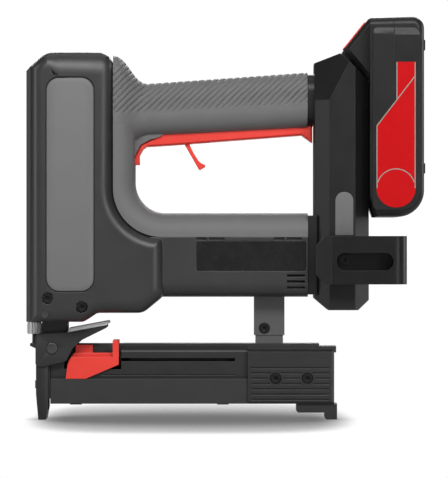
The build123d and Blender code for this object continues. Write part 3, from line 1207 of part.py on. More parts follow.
def main():
    os.makedirs("parts", exist_ok=True)
    nodes = {}
    nodes["housing_left"], nodes["housing_right"] = housing()
    nodes["column_left"], nodes["column_right"] = column()
    nodes["grip_left"], nodes["grip_right"] = grip()
    nodes["front_cover"] = front_cover()
    half = HEAD_WIDTH / 2
    nodes["side_panels"] = both_sides(panel_outline(0.1), half - PANEL_SINK, half + PANEL_PROUD)
    nodes["name_plate"] = slab(plate_outline(0.1), -ARM_WIDTH / 2, -ARM_WIDTH / 2 + PLATE_THICK)
    strip = both_sides(insert_outline(), COLUMN_WIDTH / 2 - 1, COLUMN_WIDTH / 2 + 0.5)
    nodes["column_inserts"] = strip
    screws = [screw(x, -half + 1.0, z, HEAD_WIDTH - 9) for x, z in HOUSING_SCREWS]
    rear = -REAR_BLOCK_WIDTH / 2
    screws += [screw(x, rear - 0.6, REAR_SCREW_Z, REAR_BLOCK_WIDTH - 4) for x in REAR_SCREWS]
    screws.append(screw(STRUT_SCREW[0], -STRUT_DEPTH / 2 - 0.6, STRUT_SCREW[1], STRUT_DEPTH - 2))
    screws.append(screw(HOOK_SCREW_X, -COLUMN_WIDTH / 2 - HOOK_SHEET - SCREW_HEAD, HOOK_SCREW_Z, 14))
    nodes["case_screws"] = Compound(children=screws)
    nodes["nose_pins"] = Compound(children=[lever_pin(), door_pin(), *nose_studs()])
    nodes["trigger_bezel"] = bezel()
    nodes["trigger_pin"] = trigger_pin()
    nodes["trigger"] = trigger()
    nodes["trigger_switch"] = trigger_switch()
    nodes["switch_plunger"] = switch_plunger()
    nodes["power_leads"] = power_leads()
    nodes["control_board"] = control_board()
    nodes["terminal_block"] = terminal_block()
    nodes["belt_hook"] = belt_hook()
    nodes["battery_cover"], nodes["battery_tray"] = battery()
    nodes["battery_cells"] = battery_cells()
    nodes["battery_board"] = battery_board()
    nodes["battery_button"] = battery_button()
    nodes["nose_block"] = nose_block()
    nodes["nose_door"] = nose_door()
    nodes["release_lever"] = release_lever()
    nodes["contact_foot"] = contact_foot()
    nodes["depth_wheel"] = depth_wheel()
    nodes["magazine_body"] = magazine_body()
    nodes["magazine_rail"] = magazine_rail()
    nodes["magazine_rear_block"] = magazine_rear_block()
    nodes["magazine_foot"] = magazine_foot()
    nodes["magazine_strut"] = magazine_strut()
    nodes["strut_bracket"] = strut_bracket()
    nodes["staple_strip"] = staple_strip()
    nodes["pusher"] = pusher()
    nodes["pusher_spring"] = pusher_spring()
    nodes["drive_frame"] = drive_frame()
    nodes["guide_rod"] = guide_rod()
    nodes["bumper"] = bumper()
    nodes["spring_seat"] = spring_seat()
    nodes["main_spring"] = main_spring()
    nodes["hammer_carriage"] = hammer_carriage()
    nodes["driver_blade"] = driver_blade()
    nodes["lifter_pinion"] = lifter_pinion()
    nodes["planet_carrier"] = planet_carrier()
    for i in range(PLANET_COUNT):
        nodes[f"planet_{i + 1}"] = planet(i)
    nodes["ring_gear"] = ring_gear()
    nodes["gear_case"] = gear_case()
    nodes["motor_stator"] = motor_stator()
    nodes["motor_bells"] = motor_bells()
    nodes["motor_bearings"] = motor_bearings()
    nodes["rotor"] = rotor()
    nodes["motor_fan"] = motor_fan()
    for name, shape in nodes.items():
        shape.label = name
        export_step(shape, f"parts/{name}.step")


main()
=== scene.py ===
# %% Load the solid model
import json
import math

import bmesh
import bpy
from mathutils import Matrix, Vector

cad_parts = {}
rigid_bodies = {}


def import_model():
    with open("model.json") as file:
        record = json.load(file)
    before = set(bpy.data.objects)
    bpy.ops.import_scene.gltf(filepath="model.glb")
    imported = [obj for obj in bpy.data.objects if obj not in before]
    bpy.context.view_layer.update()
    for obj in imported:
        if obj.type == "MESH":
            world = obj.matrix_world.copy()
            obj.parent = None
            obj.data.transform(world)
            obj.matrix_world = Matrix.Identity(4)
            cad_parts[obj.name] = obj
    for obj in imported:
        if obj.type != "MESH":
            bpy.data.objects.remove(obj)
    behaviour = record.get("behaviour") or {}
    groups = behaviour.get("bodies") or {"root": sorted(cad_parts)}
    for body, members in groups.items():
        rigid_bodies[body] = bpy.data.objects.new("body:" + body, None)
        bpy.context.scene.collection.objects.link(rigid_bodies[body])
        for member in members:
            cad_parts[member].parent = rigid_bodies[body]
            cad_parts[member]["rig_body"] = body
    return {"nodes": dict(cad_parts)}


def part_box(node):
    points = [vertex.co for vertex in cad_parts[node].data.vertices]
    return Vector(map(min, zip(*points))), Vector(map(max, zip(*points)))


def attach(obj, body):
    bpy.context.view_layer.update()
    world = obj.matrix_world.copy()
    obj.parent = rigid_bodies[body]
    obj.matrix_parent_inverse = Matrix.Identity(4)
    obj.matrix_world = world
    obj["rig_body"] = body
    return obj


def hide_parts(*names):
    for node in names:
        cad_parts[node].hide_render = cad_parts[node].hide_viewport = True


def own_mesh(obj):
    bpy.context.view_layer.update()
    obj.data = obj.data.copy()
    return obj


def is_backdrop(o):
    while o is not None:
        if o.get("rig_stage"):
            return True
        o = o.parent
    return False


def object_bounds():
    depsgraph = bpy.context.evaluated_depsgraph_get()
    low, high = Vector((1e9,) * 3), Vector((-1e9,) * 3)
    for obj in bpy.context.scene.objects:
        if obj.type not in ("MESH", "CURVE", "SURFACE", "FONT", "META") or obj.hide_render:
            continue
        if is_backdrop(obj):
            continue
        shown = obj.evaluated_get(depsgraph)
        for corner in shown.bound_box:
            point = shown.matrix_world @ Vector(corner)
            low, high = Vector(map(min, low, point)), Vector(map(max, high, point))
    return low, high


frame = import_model()

# %% [markdown]
# # Dressing a cordless stapler
# The solid model of the stapler is now in the scene, with every part in its place. It is a frame: its
# parts are never moved or reshaped here. This lesson gives each part the finish of the real tool, adds what
# is easier to shape with a mesh than with solids, and sets up the light and the camera of a product photo.
# Sizes are written in millimetres and multiplied by MM, because the scene is in metres.

MM = 0.001
CAD_BOX = [list(corner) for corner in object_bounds()]
print("solid model from", [round(v, 4) for v in CAD_BOX[0]], "to", [round(v, 4) for v in CAD_BOX[1]])

# %% [markdown]
# ## Camera
# Tool makers photograph a stapler square from the side with a long lens, so that nothing leans. A camera
# could be fitted by eye, but the scale is known: one pixel of the picture is 0.6 mm on the tool. So the
# distance follows from the lens and the frame's height, and the middle of the frame fixes the place.

# %% Camera
PIXEL = 0.6 * MM
FRAME_WIDE, FRAME_HIGH = 448, 478
NOSE_PIXEL = (42, 421)
LENS, SENSOR = 250 * MM, 36 * MM
NEAR_SIDE = -25 * MM

frame_height = FRAME_HIGH * PIXEL
camera_place = (
    (FRAME_WIDE / 2 - NOSE_PIXEL[0]) * PIXEL,
    NEAR_SIDE - frame_height / SENSOR * LENS,
    (NOSE_PIXEL[1] - FRAME_HIGH / 2) * PIXEL,
)
bpy.ops.object.camera_add(location=camera_place, rotation=(math.radians(90), 0, 0))
camera = bpy.context.object
camera.data.lens = LENS / MM
camera.data.sensor_width = SENSOR / MM
camera.data.clip_end = 50
bpy.context.scene.camera = camera
print("camera", [round(v, 3) for v in camera.location])

# %% [markdown]
# ## Floor and studio light
# The tool stands on a white table between large soft boxes. Black plastic shows almost nothing of its own
# colour: what the eye reads is the reflection of the boxes along rounded edges. A high box in front makes the
# bright bands under the top edges, a box on each side draws the upright edges, and a weak one hangs overhead.
# Two more, behind and at the battery's end, light the sides that the photo doesn't show.

# %% Floor
FLOOR_SIZE = 60
FLOOR_PLACE = (0.1, 0, -0.2 * MM)

bpy.ops.object.select_all(action="DESELECT")
bpy.ops.mesh.primitive_plane_add(size=FLOOR_SIZE, location=FLOOR_PLACE)
floor = bpy.context.object
floor.name = "floor"
bpy.ops.object.transform_apply(location=True, rotation=True, scale=True)
floor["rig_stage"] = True
print("floor at", round(floor.data.vertices[0].co.z, 5))

# %% Soft boxes
MIDDLE = Vector((0.109, 0, 0.11))


def soft_box(name, place, size, power):
    """A rectangular studio light that faces the middle of the tool."""
    bpy.ops.object.light_add(type="AREA", location=place)
    box = bpy.context.object
    box.name = name
    box.data.shape = "RECTANGLE"
    box.data.size, box.data.size_y = size
    box.data.energy = power
    box.rotation_euler = (MIDDLE - box.location).to_track_quat("-Z", "Y").to_euler()
    return box


soft_box("box_overhead", (0.1, 0.05, 1.2), (1.3, 0.6), 3)
soft_box("box_high", (0.1, -1.22, 0.98), (1.4, 0.4), 21)
soft_box("box_left", (-2.2, -0.6, 0.4), (0.8, 1.0), 12)
soft_box("box_right", (1.2, -1.7, 0.4), (0.45, 1.2), 11.5)
soft_box("box_behind", (0.1, 1.5, 1.0), (1.6, 0.5), 24)
soft_box("box_rear", (2.2, 0.5, 0.5), (0.8, 1.0), 14)

# %% [markdown]
# ## A short way to write shaders
# A finish is a graph of nodes. Wiring it by hand takes a line for every link, so a small class holds one
# socket and turns arithmetic on it into Math nodes. Everything else comes from its one method, which takes a
# node's type, then its settings, then what goes into its sockets.


# %% Sockets that can be summed
class Wire:
    """One output of a shader node. Arithmetic on it adds Math nodes to its tree."""

    def __init__(self, tree, socket=None):
        self.tree = tree
        self.socket = socket

    def node(self, kind, settings=None, sockets=None, out=0):
        """Adds a node, sets its settings, fills its sockets, and gives one of its outputs."""
        made = self.tree.nodes.new("ShaderNode" + kind)
        for name, value in (settings or {}).items():
            setattr(made, name, value)
        for name, value in (sockets or {}).items():
            if isinstance(value, Wire):
                self.tree.links.new(value.socket, made.inputs[name])
            else:
                made.inputs[name].default_value = value
        return Wire(self.tree, made.outputs[out] if len(made.outputs) else None)

    def __add__(self, other):
        return self.node("Math", {"operation": "ADD"}, {0: self, 1: other})

    def __sub__(self, other):
        return self.node("Math", {"operation": "SUBTRACT"}, {0: self, 1: other})

    def __mul__(self, other):
        return self.node("Math", {"operation": "MULTIPLY"}, {0: self, 1: other})

    def __lt__(self, other):
        return self.node("Math", {"operation": "LESS_THAN"}, {0: self, 1: other})

    def __gt__(self, other):
        return self.node("Math", {"operation": "GREATER_THAN"}, {0: self, 1: other})

    __radd__ = __add__
    __rmul__ = __mul__


print("wires add, subtract, multiply and compare")

# %% [markdown]
# ## World
# The sky is a plain white room. The Light Path node tells a ray that comes straight from the camera from one
# that lights the tool, so that the background stays white while the light on the tool is kept soft and dim.

# %% World
ROOM_SEEN, ROOM_LIGHT = 1.04, 0.10

world = bpy.data.worlds.new("white_room")
bpy.context.scene.world = world
world.use_nodes = True
world.node_tree.nodes.clear()
room = Wire(world.node_tree)
seen = room.node("LightPath", out="Is Camera Ray")
strength = seen * (ROOM_SEEN - ROOM_LIGHT) + ROOM_LIGHT
white = room.node("Background", None, {"Color": (1, 1, 1, 1), "Strength": strength})
room.node("OutputWorld", None, {"Surface": white})
bpy.context.scene.view_settings.view_transform = "Standard"
print("world", world.name)

# %% [markdown]
# ## What every finish shares
# Moulded and machined parts have no razor edges. A true bevel on every edge of every part would be slow, so
# the Bevel node rounds the direction of the surface instead. Where that direction leaves the real one there
# is an edge, and the same difference gives a mask that lightens edges: partly wear where hands and benches
# rub them bright, partly a painted highlight.


# %% Helpers for finishes
def start_finish(name):
    """An empty material, the first wire of its tree, and the place on the piece."""
    finish = bpy.data.materials.new(name)
    finish.use_nodes = True
    finish.node_tree.nodes.clear()
    wire = Wire(finish.node_tree)
    place = wire.node("TexCoord", out="Object")
    return finish, wire, place


def speckle(place, size, detail=2.0):
    """Noise whose spots are about size millimetres across."""
    return place.node("TexNoise", None, {"Vector": place, "Scale": 1 / (size * MM), "Detail": detail})


def stretched(place, sizes):
    """The place on the piece with its scale changed, so that noise runs in streaks of these sizes."""
    scale = [1 / (size * MM) for size in sizes]
    return place.node("Mapping", {"vector_type": "POINT"}, {"Vector": place, "Scale": scale})


def mixed(share, first, second):
    """A colour between two colours."""
    return share.node("Mix", {"data_type": "RGBA"}, {0: share, 6: first, 7: second}, out=2)


def eased(wire, radius):
    """The surface's direction with its edges rounded to some millimetres."""
    return wire.node("Bevel", {"samples": 6}, {"Radius": radius * MM})


def rounded_edges(wire, radius):
    """The eased direction, and an edge mask for rubbed wear and a painted highlight."""
    soft = eased(wire, radius)
    true = wire.node("NewGeometry", out="Normal")
    same = wire.node("VectorMath", {"operation": "DOT_PRODUCT"}, {0: soft, 1: true}, out="Value")
    # The edge mask lightens colour on edges: partly rubbed wear, partly a painted highlight.
    edge = wire.node("MapRange", None, {"Value": same, "From Min": 0.99, "From Max": 0.8})
    return soft, edge


def complete(wire, colour, rough, height, depth, direction, **constant):
    """Joins a finish: its colour, its roughness, and a relief of some depth in millimetres."""
    sockets = {"Height": height, "Distance": depth * MM, "Strength": 1.0, "Normal": direction}
    relief = wire.node("Bump", None, sockets)
    sockets = {"Base Color": colour, "Roughness": rough, "Normal": relief}
    sockets.update({name.replace("_", " "): value for name, value in constant.items()})
    surface = wire.node("BsdfPrincipled", None, sockets)
    wire.node("OutputMaterial", None, {"Surface": surface})


def grey(value, warm=0.0):
    """An opaque grey."""
    return (value * (1 + warm), value, value * (1 - warm), 1)


def put_on(finish, *nodes):
    """Gives parts of the solid model a finish."""
    for name in nodes:
        part = frame["nodes"][name]
        if not part.material_slots:
            part.data.materials.append(finish)
        for holder in part.material_slots:
            holder.material = finish
    print(finish.name, "on", len(nodes), "parts")


print("finish helpers ready")

# %% [markdown]
# ## Black moulded plastic
# The housing, the column and the battery case are glass-filled nylon, moulded in a spark-eroded tool that
# leaves a fine grain. The grain is a bump far smaller than a millimetre; slow noise makes the gloss uneven,
# as mould wear does. Edges are a little lighter, partly where the grain is rubbed off and partly as a painted
# highlight. The strut under the arm gets a lighter black, painted light that lifts the shade under the arm,
# and the column and the battery a deeper one, painted shade where less light falls on them.

# %% Black moulded plastic
moulded_black, wire, place = start_finish("moulded_black")
direction, edge = rounded_edges(wire, 0.7)
cloudy = speckle(place, 14, 3.0)
grain = speckle(place, 0.35)
# Lighter edges: rubbed wear and a painted highlight.
colour = mixed(edge * 0.4, mixed(cloudy, grey(0.015), grey(0.021)), grey(0.06))
complete(wire, colour, 0.30 + cloudy * 0.12 + grain * 0.08, grain, 0.03, direction)
put_on(moulded_black, "housing_left", "housing_right", "front_cover")

# The strut's lighter black is painted light, lifting the shade under the arm.
lightened_strut_black, wire, place = start_finish("lightened_strut_black")
direction, edge = rounded_edges(wire, 0.5)
cloudy = speckle(place, 12, 3.0)
grain = speckle(place, 0.35)
colour = mixed(edge * 0.3, mixed(cloudy, grey(0.055), grey(0.070)), grey(0.11))
complete(wire, colour, 0.34 + cloudy * 0.12, grain, 0.03, direction)
put_on(lightened_strut_black, "magazine_strut", "strut_bracket")

# A darker copy of the black: painted shade on the column and the battery.
deep_shaded_black, wire, place = start_finish("deep_shaded_black")
direction, edge = rounded_edges(wire, 0.7)
cloudy = speckle(place, 14, 3.0)
grain = speckle(place, 0.35)
colour = mixed(edge * 0.2, mixed(cloudy, grey(0.007), grey(0.010)), grey(0.045))
complete(wire, colour, 0.28 + cloudy * 0.12 + grain * 0.08, grain, 0.03, direction, Specular_IOR_Level=0.28)
put_on(
    deep_shaded_black, "column_left", "column_right", "battery_cover", "battery_tray", "terminal_block",
    "trigger_switch", "motor_fan",
)

# %% [markdown]
# ## Grey soft grip
# The handle and the hand opening are covered with a soft rubber that is moulded over the nylon. It is matt
# and has almost no grain. A slight cloudiness keeps it from looking like paint.

# %% Grey soft grip
soft_grey, wire, place = start_finish("soft_grey")
direction, edge = rounded_edges(wire, 0.5)
cloudy = speckle(place, 9, 4.0)
grain = speckle(place, 0.22)
colour = mixed(edge * 0.35, mixed(cloudy, grey(0.098), grey(0.122)), grey(0.16))
complete(wire, colour, 0.58 + cloudy * 0.14, grain, 0.025, direction)
put_on(soft_grey, "grip_left", "grip_right", "column_inserts")

# %% Lighter panel on the head
panel_grey, wire, place = start_finish("panel_grey")
direction, edge = rounded_edges(wire, 0.8)
cloudy = speckle(place, 16, 3.0)
grain = speckle(place, 0.22)
colour = mixed(edge * 0.4, mixed(cloudy, grey(0.103), grey(0.122)), grey(0.20))
complete(wire, colour, 0.5 + cloudy * 0.12, grain, 0.02, direction)
put_on(panel_grey, "side_panels")

# %% [markdown]
# ## Red plastic
# The trigger, the trim above it, the pusher and the battery's button are the parts a hand looks for, so they
# are moulded in red. Red nylon is smoother than the black, and light inside it makes its edges paler.

# %% Red plastic
signal_red, wire, place = start_finish("signal_red")
direction, edge = rounded_edges(wire, 0.6)
cloudy = speckle(place, 11, 3.0)
grain = speckle(place, 0.3)
body = mixed(cloudy, (0.64, 0.028, 0.017, 1), (0.71, 0.036, 0.022, 1))
colour = mixed(edge * 0.45, body, (0.82, 0.11, 0.07, 1))
complete(wire, colour, 0.34 + cloudy * 0.12, grain, 0.015, direction)
put_on(signal_red, "trigger", "trigger_bezel", "pusher", "battery_button")

# %% [markdown]
# ## Metals
# The magazine and the nose are steel sheet with a black oxide finish, which keeps the fine lines of the
# rolled sheet. On the magazine, a near-black band is painted shadow in its groove and another is painted
# shade under its cap, a thin light band is a painted highlight along a fold, and the wall is darker below
# its floor band than above it. The belt hook and the case screws are painted, the pins are burnished, and
# the wheel and the springs are bare steel. The drive's frame is die cast.

# %% Black oxide steel
black_oxide, wire, place = start_finish("black_oxide")
direction, edge = rounded_edges(wire, 0.4)
rolled = speckle(stretched(place, (9, 0.25, 0.25)), 1000)
cloudy = speckle(place, 10, 3.0)
colour = mixed(edge * 0.5, mixed(cloudy, grey(0.011), grey(0.017)), grey(0.08))
complete(wire, colour, 0.38 + cloudy * 0.1 + rolled * 0.1, rolled, 0.012, direction, Metallic=0.25)
put_on(
    black_oxide, "magazine_rear_block", "magazine_foot", "nose_block", "nose_door", "contact_foot",
)

# %% Magazine
FLOOR_BAND = 24.4 * MM
GROOVE_BAND = (25.2 * MM, 26.4 * MM)
CAP_BAND = (42.4 * MM, 44.4 * MM)
FOLD_HIGHLIGHT_BAND = (40.9 * MM, 41.8 * MM)

magazine_black, wire, place = start_finish("magazine_black")
direction, edge = rounded_edges(wire, 0.4)
rolled = speckle(stretched(place, (9, 0.25, 0.25)), 1000)
cloudy = speckle(place, 10, 3.0)
up = wire.node("SeparateXYZ", None, {"Vector": place}, out="Z")
lower = mixed(cloudy, grey(0.010), grey(0.015))
upper = mixed(cloudy, grey(0.020), grey(0.027))
wall = mixed(up < FLOOR_BAND, lower, upper)
# Near-black bands: painted shadow in the groove, painted shade under the cap; a thin painted highlight on a
# fold.
groove_shadow, cap_shade, fold_highlight = [(up > low) * (up < high) for low, high in (GROOVE_BAND, CAP_BAND, FOLD_HIGHLIGHT_BAND)]
lined = mixed(fold_highlight, mixed(edge * 0.3, wall, grey(0.05)), grey(0.075))
colour = mixed(groove_shadow + cap_shade, lined, grey(0.003))
complete(wire, colour, 0.36 + cloudy * 0.1 + rolled * 0.1, rolled, 0.012, direction, Metallic=0.25)
put_on(magazine_black, "magazine_body")

# %% Painted hook
hook_paint, wire, place = start_finish("hook_paint")
direction, edge = rounded_edges(wire, 0.5)
orange_peel = speckle(place, 0.9, 3.0)
cloudy = speckle(place, 12, 3.0)
colour = mixed(edge * 0.4, mixed(cloudy, grey(0.004), grey(0.007)), grey(0.05))
complete(wire, colour, 0.30 + cloudy * 0.1, orange_peel, 0.012, direction, Specular_IOR_Level=0.25)
put_on(hook_paint, "belt_hook", "case_screws")

# %% Burnished pins
burnished, wire, place = start_finish("burnished")
direction, edge = rounded_edges(wire, 0.3)
turned = speckle(stretched(place, (0.3, 3, 0.3)), 1000)
colour = mixed(edge * 0.5, mixed(turned, grey(0.07), grey(0.12)), grey(0.3))
complete(wire, colour, 0.24 + turned * 0.12, turned, 0.01, direction, Metallic=0.9)
put_on(burnished, "nose_pins")

# %% Release lever with painted light on its top
PAD_RISE = 0.185
PAD_DROP = 2.0 * MM
PAD_FRONT = 14.5 * MM
lever_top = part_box("release_lever")[1]

lever_oxide, wire, place = start_finish("lever_oxide")
direction, edge = rounded_edges(wire, 0.4)
rolled = speckle(stretched(place, (9, 0.25, 0.25)), 1000)
along = wire.node("SeparateXYZ", None, {"Vector": place}, out="X")
up = wire.node("SeparateXYZ", None, {"Vector": place}, out="Z")
# The lever's top strip is coloured light grey: painted light on its upward-facing flange.
lit_top = (up - along * PAD_RISE > lever_top.z - lever_top.x * PAD_RISE - PAD_DROP) * (along > PAD_FRONT)
oxide = mixed(edge * 0.5, mixed(rolled, grey(0.014), grey(0.022)), grey(0.09))
colour = mixed(lit_top, oxide, mixed(rolled, grey(0.58), grey(0.70)))
complete(wire, colour, 0.44 + rolled * 0.1 - lit_top * 0.06, rolled, 0.012, direction, Metallic=0.25)
put_on(lever_oxide, "release_lever")

# %% Bright steel
bright_steel, wire, place = start_finish("bright_steel")
direction = eased(wire, 0.2)
brushed = speckle(stretched(place, (0.15, 4, 0.15)), 1000)
cloudy = speckle(place, 6, 3.0)
colour = mixed(cloudy, grey(0.40, 0.01), grey(0.52, 0.015))
complete(wire, colour, 0.26 + brushed * 0.16, brushed, 0.01, direction, Metallic=1.0)
put_on(
    bright_steel, "depth_wheel", "trigger_pin", "guide_rod", "main_spring", "pusher_spring",
    "driver_blade", "lifter_pinion", "planet_carrier", "planet_1", "planet_2", "planet_3", "ring_gear",
    "motor_bearings", "rotor", "magazine_rail", "hammer_carriage",
)

# %% Cast alloy
cast_alloy, wire, place = start_finish("cast_alloy")
direction = eased(wire, 0.5)
cloudy = speckle(place, 5, 4.0)
grain = speckle(place, 0.5)
colour = mixed(cloudy, grey(0.40), grey(0.52))
complete(wire, colour, 0.42 + grain * 0.16, grain, 0.04, direction, Metallic=1.0)
put_on(cast_alloy, "drive_frame", "gear_case", "motor_bells", "spring_seat")

# %% [markdown]
# ## Smaller finishes
# The plate on the arm is a glossy printed foil, left bare here. Inside, the bumper is black rubber, the cells
# wear shrink sleeves, the boards are coated laminate with copper tracks under the coating, and the motor's
# stator is a stack of thin sheets wound with varnished copper.

# %% Glossy plate
gloss_plate, wire, place = start_finish("gloss_plate")
direction, edge = rounded_edges(wire, 0.3)
haze = speckle(place, 7, 4.0)
dust = speckle(place, 0.6)
colour = mixed(edge * 0.6, mixed(haze, grey(0.006), grey(0.009)), grey(0.05))
complete(wire, colour, 0.20 + haze * 0.14, dust, 0.006, direction, Specular_IOR_Level=0.35)
put_on(gloss_plate, "name_plate")

# %% Black rubber
black_rubber, wire, place = start_finish("black_rubber")
direction = eased(wire, 0.5)
cloudy = speckle(place, 3, 4.0)
complete(wire, mixed(cloudy, grey(0.018), grey(0.03)), 0.62 + cloudy * 0.2, cloudy, 0.06, direction)
put_on(black_rubber, "bumper")

# %% Cell sleeves, boards and leads
cell_sleeve, wire, place = start_finish("cell_sleeve")
direction = eased(wire, 0.4)
shrink = speckle(stretched(place, (0.6, 8, 0.6)), 1000)
colour = mixed(shrink, (0.02, 0.10, 0.26, 1), (0.03, 0.14, 0.34, 1))
complete(wire, colour, 0.26 + shrink * 0.14, shrink, 0.05, direction)
put_on(cell_sleeve, "battery_cells")

coated_board, wire, place = start_finish("coated_board")
direction = eased(wire, 0.2)
tracks = wire.node(
    "TexBrick", None,
    {"Vector": place, "Scale": 180.0, "Mortar Size": 0.03, "Color1": grey(0.0), "Color2": grey(0.35),
     "Mortar": grey(1.0)},
)
share = wire.node("SeparateColor", None, {"Color": tracks})
colour = mixed(share, (0.006, 0.055, 0.022, 1), (0.03, 0.16, 0.06, 1))
complete(wire, colour, 0.32 + share * 0.12, share, 0.03, direction)
put_on(coated_board, "control_board", "battery_board")

lead_sleeve, wire, place = start_finish("lead_sleeve")
direction = eased(wire, 0.2)
cloudy = speckle(place, 4, 3.0)
colour = mixed(cloudy, (0.40, 0.012, 0.010, 1), (0.50, 0.02, 0.015, 1))
complete(wire, colour, 0.42 + cloudy * 0.12, cloudy, 0.02, direction)
put_on(lead_sleeve, "power_leads", "switch_plunger")

# %% Stator and staples
STAPLE_PITCH = 1.25 * MM

wound_stator, wire, place = start_finish("wound_stator")
direction = eased(wire, 0.2)
sheets = speckle(stretched(place, (0.5, 30, 30)), 1000)
winding = speckle(stretched(place, (0.7, 0.35, 0.35)), 1000)
copper = mixed(winding, (0.42, 0.14, 0.05, 1), (0.62, 0.24, 0.09, 1))
colour = mixed(sheets * 0.4, copper, grey(0.20))
complete(wire, colour, 0.34 + winding * 0.14, winding + sheets, 0.08, direction, Metallic=0.8)
put_on(wound_stator, "motor_stator")

staple_wire, wire, place = start_finish("staple_wire")
direction = eased(wire, 0.1)
along = wire.node("SeparateXYZ", None, {"Vector": place}, out="X")
ripple = wire.node("Math", {"operation": "SINE"}, {0: along * (2 * math.pi / STAPLE_PITCH)})
cloudy = speckle(place, 4, 3.0)
# The colour is darker where the wires meet, in step with the bump: painted shade between the staples.
colour = mixed(ripple * 0.5 + 0.5, grey(0.34), grey(0.62))
complete(wire, colour, 0.30 + cloudy * 0.12, ripple, 0.10, direction, Metallic=1.0)
put_on(staple_wire, "staple_strip")

# %% [markdown]
# ## White table
# A product photo's table is so bright that only the shadow under the tool is left of it. To the camera, this
# one glows white, and the Ambient Occlusion node, which tells how much of the sky the tool hides, takes the
# glow away under the tool. Past a rounded rim it is white again. All other rays meet a plain pale table,
# which throws light back up at the tool.

# %% White table
SHADE_REACH = 300 * MM
SHADE_MIDDLE = (88.5 * MM, 22 * MM)
SHADE_WIDE, SHADE_DEEP = 103 * MM, 200 * MM

white_table, wire, place = start_finish("white_table")
seen = wire.node("LightPath", out="Is Camera Ray")
cloudy = speckle(place, 30, 3.0)
nook = wire.node("AmbientOcclusion", {"samples": 16}, {"Distance": SHADE_REACH}, out="AO")
open_air = wire.node("MapRange", None, {"Value": nook, "From Min": 0.5, "From Max": 0.97})
along = wire.node("SeparateXYZ", None, {"Vector": place}, out="X")
deep = wire.node("SeparateXYZ", None, {"Vector": place}, out="Y")
wide = (along - SHADE_MIDDLE[0]) * (1 / SHADE_WIDE)
long = (deep - SHADE_MIDDLE[1]) * (1 / SHADE_DEEP)
rim = wide * wide * wide * wide + long * long * long * long
smooth = {"interpolation_type": "SMOOTHSTEP"}
outside = wire.node("MapRange", smooth, {"Value": rim, "From Min": 0.25, "From Max": 1.15})
shade = mixed(open_air * open_air + outside, grey(0.18), grey(1.0))
glow = mixed(seen, grey(0.0), shade)
colour = mixed(seen, mixed(cloudy, grey(0.58), grey(0.62)), grey(0.0))
plain = wire.node("NewGeometry", out="Normal")
constant = {"Emission_Strength": 1.0, "Specular_IOR_Level": 0.0}
complete(wire, colour, 0.6 + cloudy * 0.1, cloudy, 0.01, plain, Emission_Color=glow, **constant)
floor.data.materials.append(white_table)
print("table finish", white_table.name)

# %% [markdown]
# ## Copies of solid parts
# Where the real part has more shape than its solid, a copy of the solid's mesh is reshaped and shown in its
# place. These helpers make the copy, select what is to be changed on it, round its edges, and hide the solid
# part it stands for and hang the copy on that part's body, so that it moves with it.

# %% Copies of solid parts
MERGE = 0.001 * MM
NEAR = 0.1 * MM
FLAT = 0.99
JOIN, SMOOTH, SHARP = [math.radians(angle) for angle in (0.3, 35, 40)]


def deselect():
    """Leaves edit mode and selects nothing."""
    if bpy.context.object and bpy.context.object.mode != "OBJECT":
        bpy.ops.object.mode_set(mode="OBJECT")
    bpy.ops.object.select_all(action="DESELECT")


def only(piece):
    """Selects one piece alone."""
    deselect()
    bpy.context.view_layer.objects.active = piece
    piece.select_set(True)


def edit(piece, by="FACE"):
    """Opens one piece in edit mode with nothing selected."""
    only(piece)
    bpy.ops.object.mode_set(mode="EDIT")
    bpy.ops.mesh.select_mode(type=by)
    bpy.ops.mesh.select_all(action="DESELECT")


def copy_of(node, name, joined=True):
    """A new piece with a solid part's shape and its points merged; joined makes faces of its triangles."""
    piece = bpy.data.objects.new(name, frame["nodes"][node].data.copy())
    bpy.context.scene.collection.objects.link(piece)
    edit(piece)
    bpy.ops.mesh.customdata_custom_splitnormals_clear()
    bpy.ops.mesh.select_all(action="SELECT")
    bpy.ops.mesh.remove_doubles(threshold=MERGE)
    if joined:
        bpy.ops.mesh.dissolve_limited(angle_limit=JOIN)
    bpy.ops.object.mode_set(mode="OBJECT")
    return piece


def pick(piece, wanted):
    """Selects the faces whose middle and normal are wanted."""
    bpy.ops.mesh.select_all(action="DESELECT")
    mesh = bmesh.from_edit_mesh(piece.data)
    for face in mesh.faces:
        face.select_set(wanted(face.calc_center_median(), face.normal))
    bmesh.update_edit_mesh(piece.data)


def pick_points(piece, wanted):
    """Selects the points whose place is wanted."""
    bpy.ops.mesh.select_all(action="DESELECT")
    mesh = bmesh.from_edit_mesh(piece.data)
    for point in mesh.verts:
        point.select_set(wanted(point.co))
    bmesh.update_edit_mesh(piece.data)


def pick_edges(piece, wanted):
    """Changes to edges, and selects those whose two ends are wanted."""
    bpy.ops.mesh.select_mode(type="EDGE")
    bpy.ops.mesh.select_all(action="DESELECT")
    mesh = bmesh.from_edit_mesh(piece.data)
    for edge in mesh.edges:
        edge.select_set(wanted(edge.verts[0].co, edge.verts[1].co))
    bmesh.update_edit_mesh(piece.data)


def soften(piece, width, segments=3):
    """Rounds a piece's sharp edges with a Bevel modifier and smooths its shading."""
    only(piece)
    bevel = piece.modifiers.new("soft_edges", "BEVEL")
    bevel.width = width
    bevel.segments = segments
    bevel.limit_method = "ANGLE"
    bevel.angle_limit = SHARP
    bpy.ops.object.modifier_apply(modifier=bevel.name)
    bpy.ops.object.shade_smooth_by_angle(angle=SMOOTH)


def stand_for(piece, node):
    """The piece is shown in place of a solid part and moves with its body."""
    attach(piece, frame["nodes"][node]["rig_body"])
    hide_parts(node)


print("copy helpers ready")

# %% [markdown]
# ## Cord ribs on the handle
# The upper half of the grip is moulded in slanting rounded ribs, like cord wound round the handle, so that a
# sweaty hand doesn't slip. Cutting each one in the solid model would make it heavy. Here a copy of the grip
# is cut by slanting planes with Bisect, five to a rib, and the points between the ribs are pushed in along
# the surface, so the ribs show in the outline too.

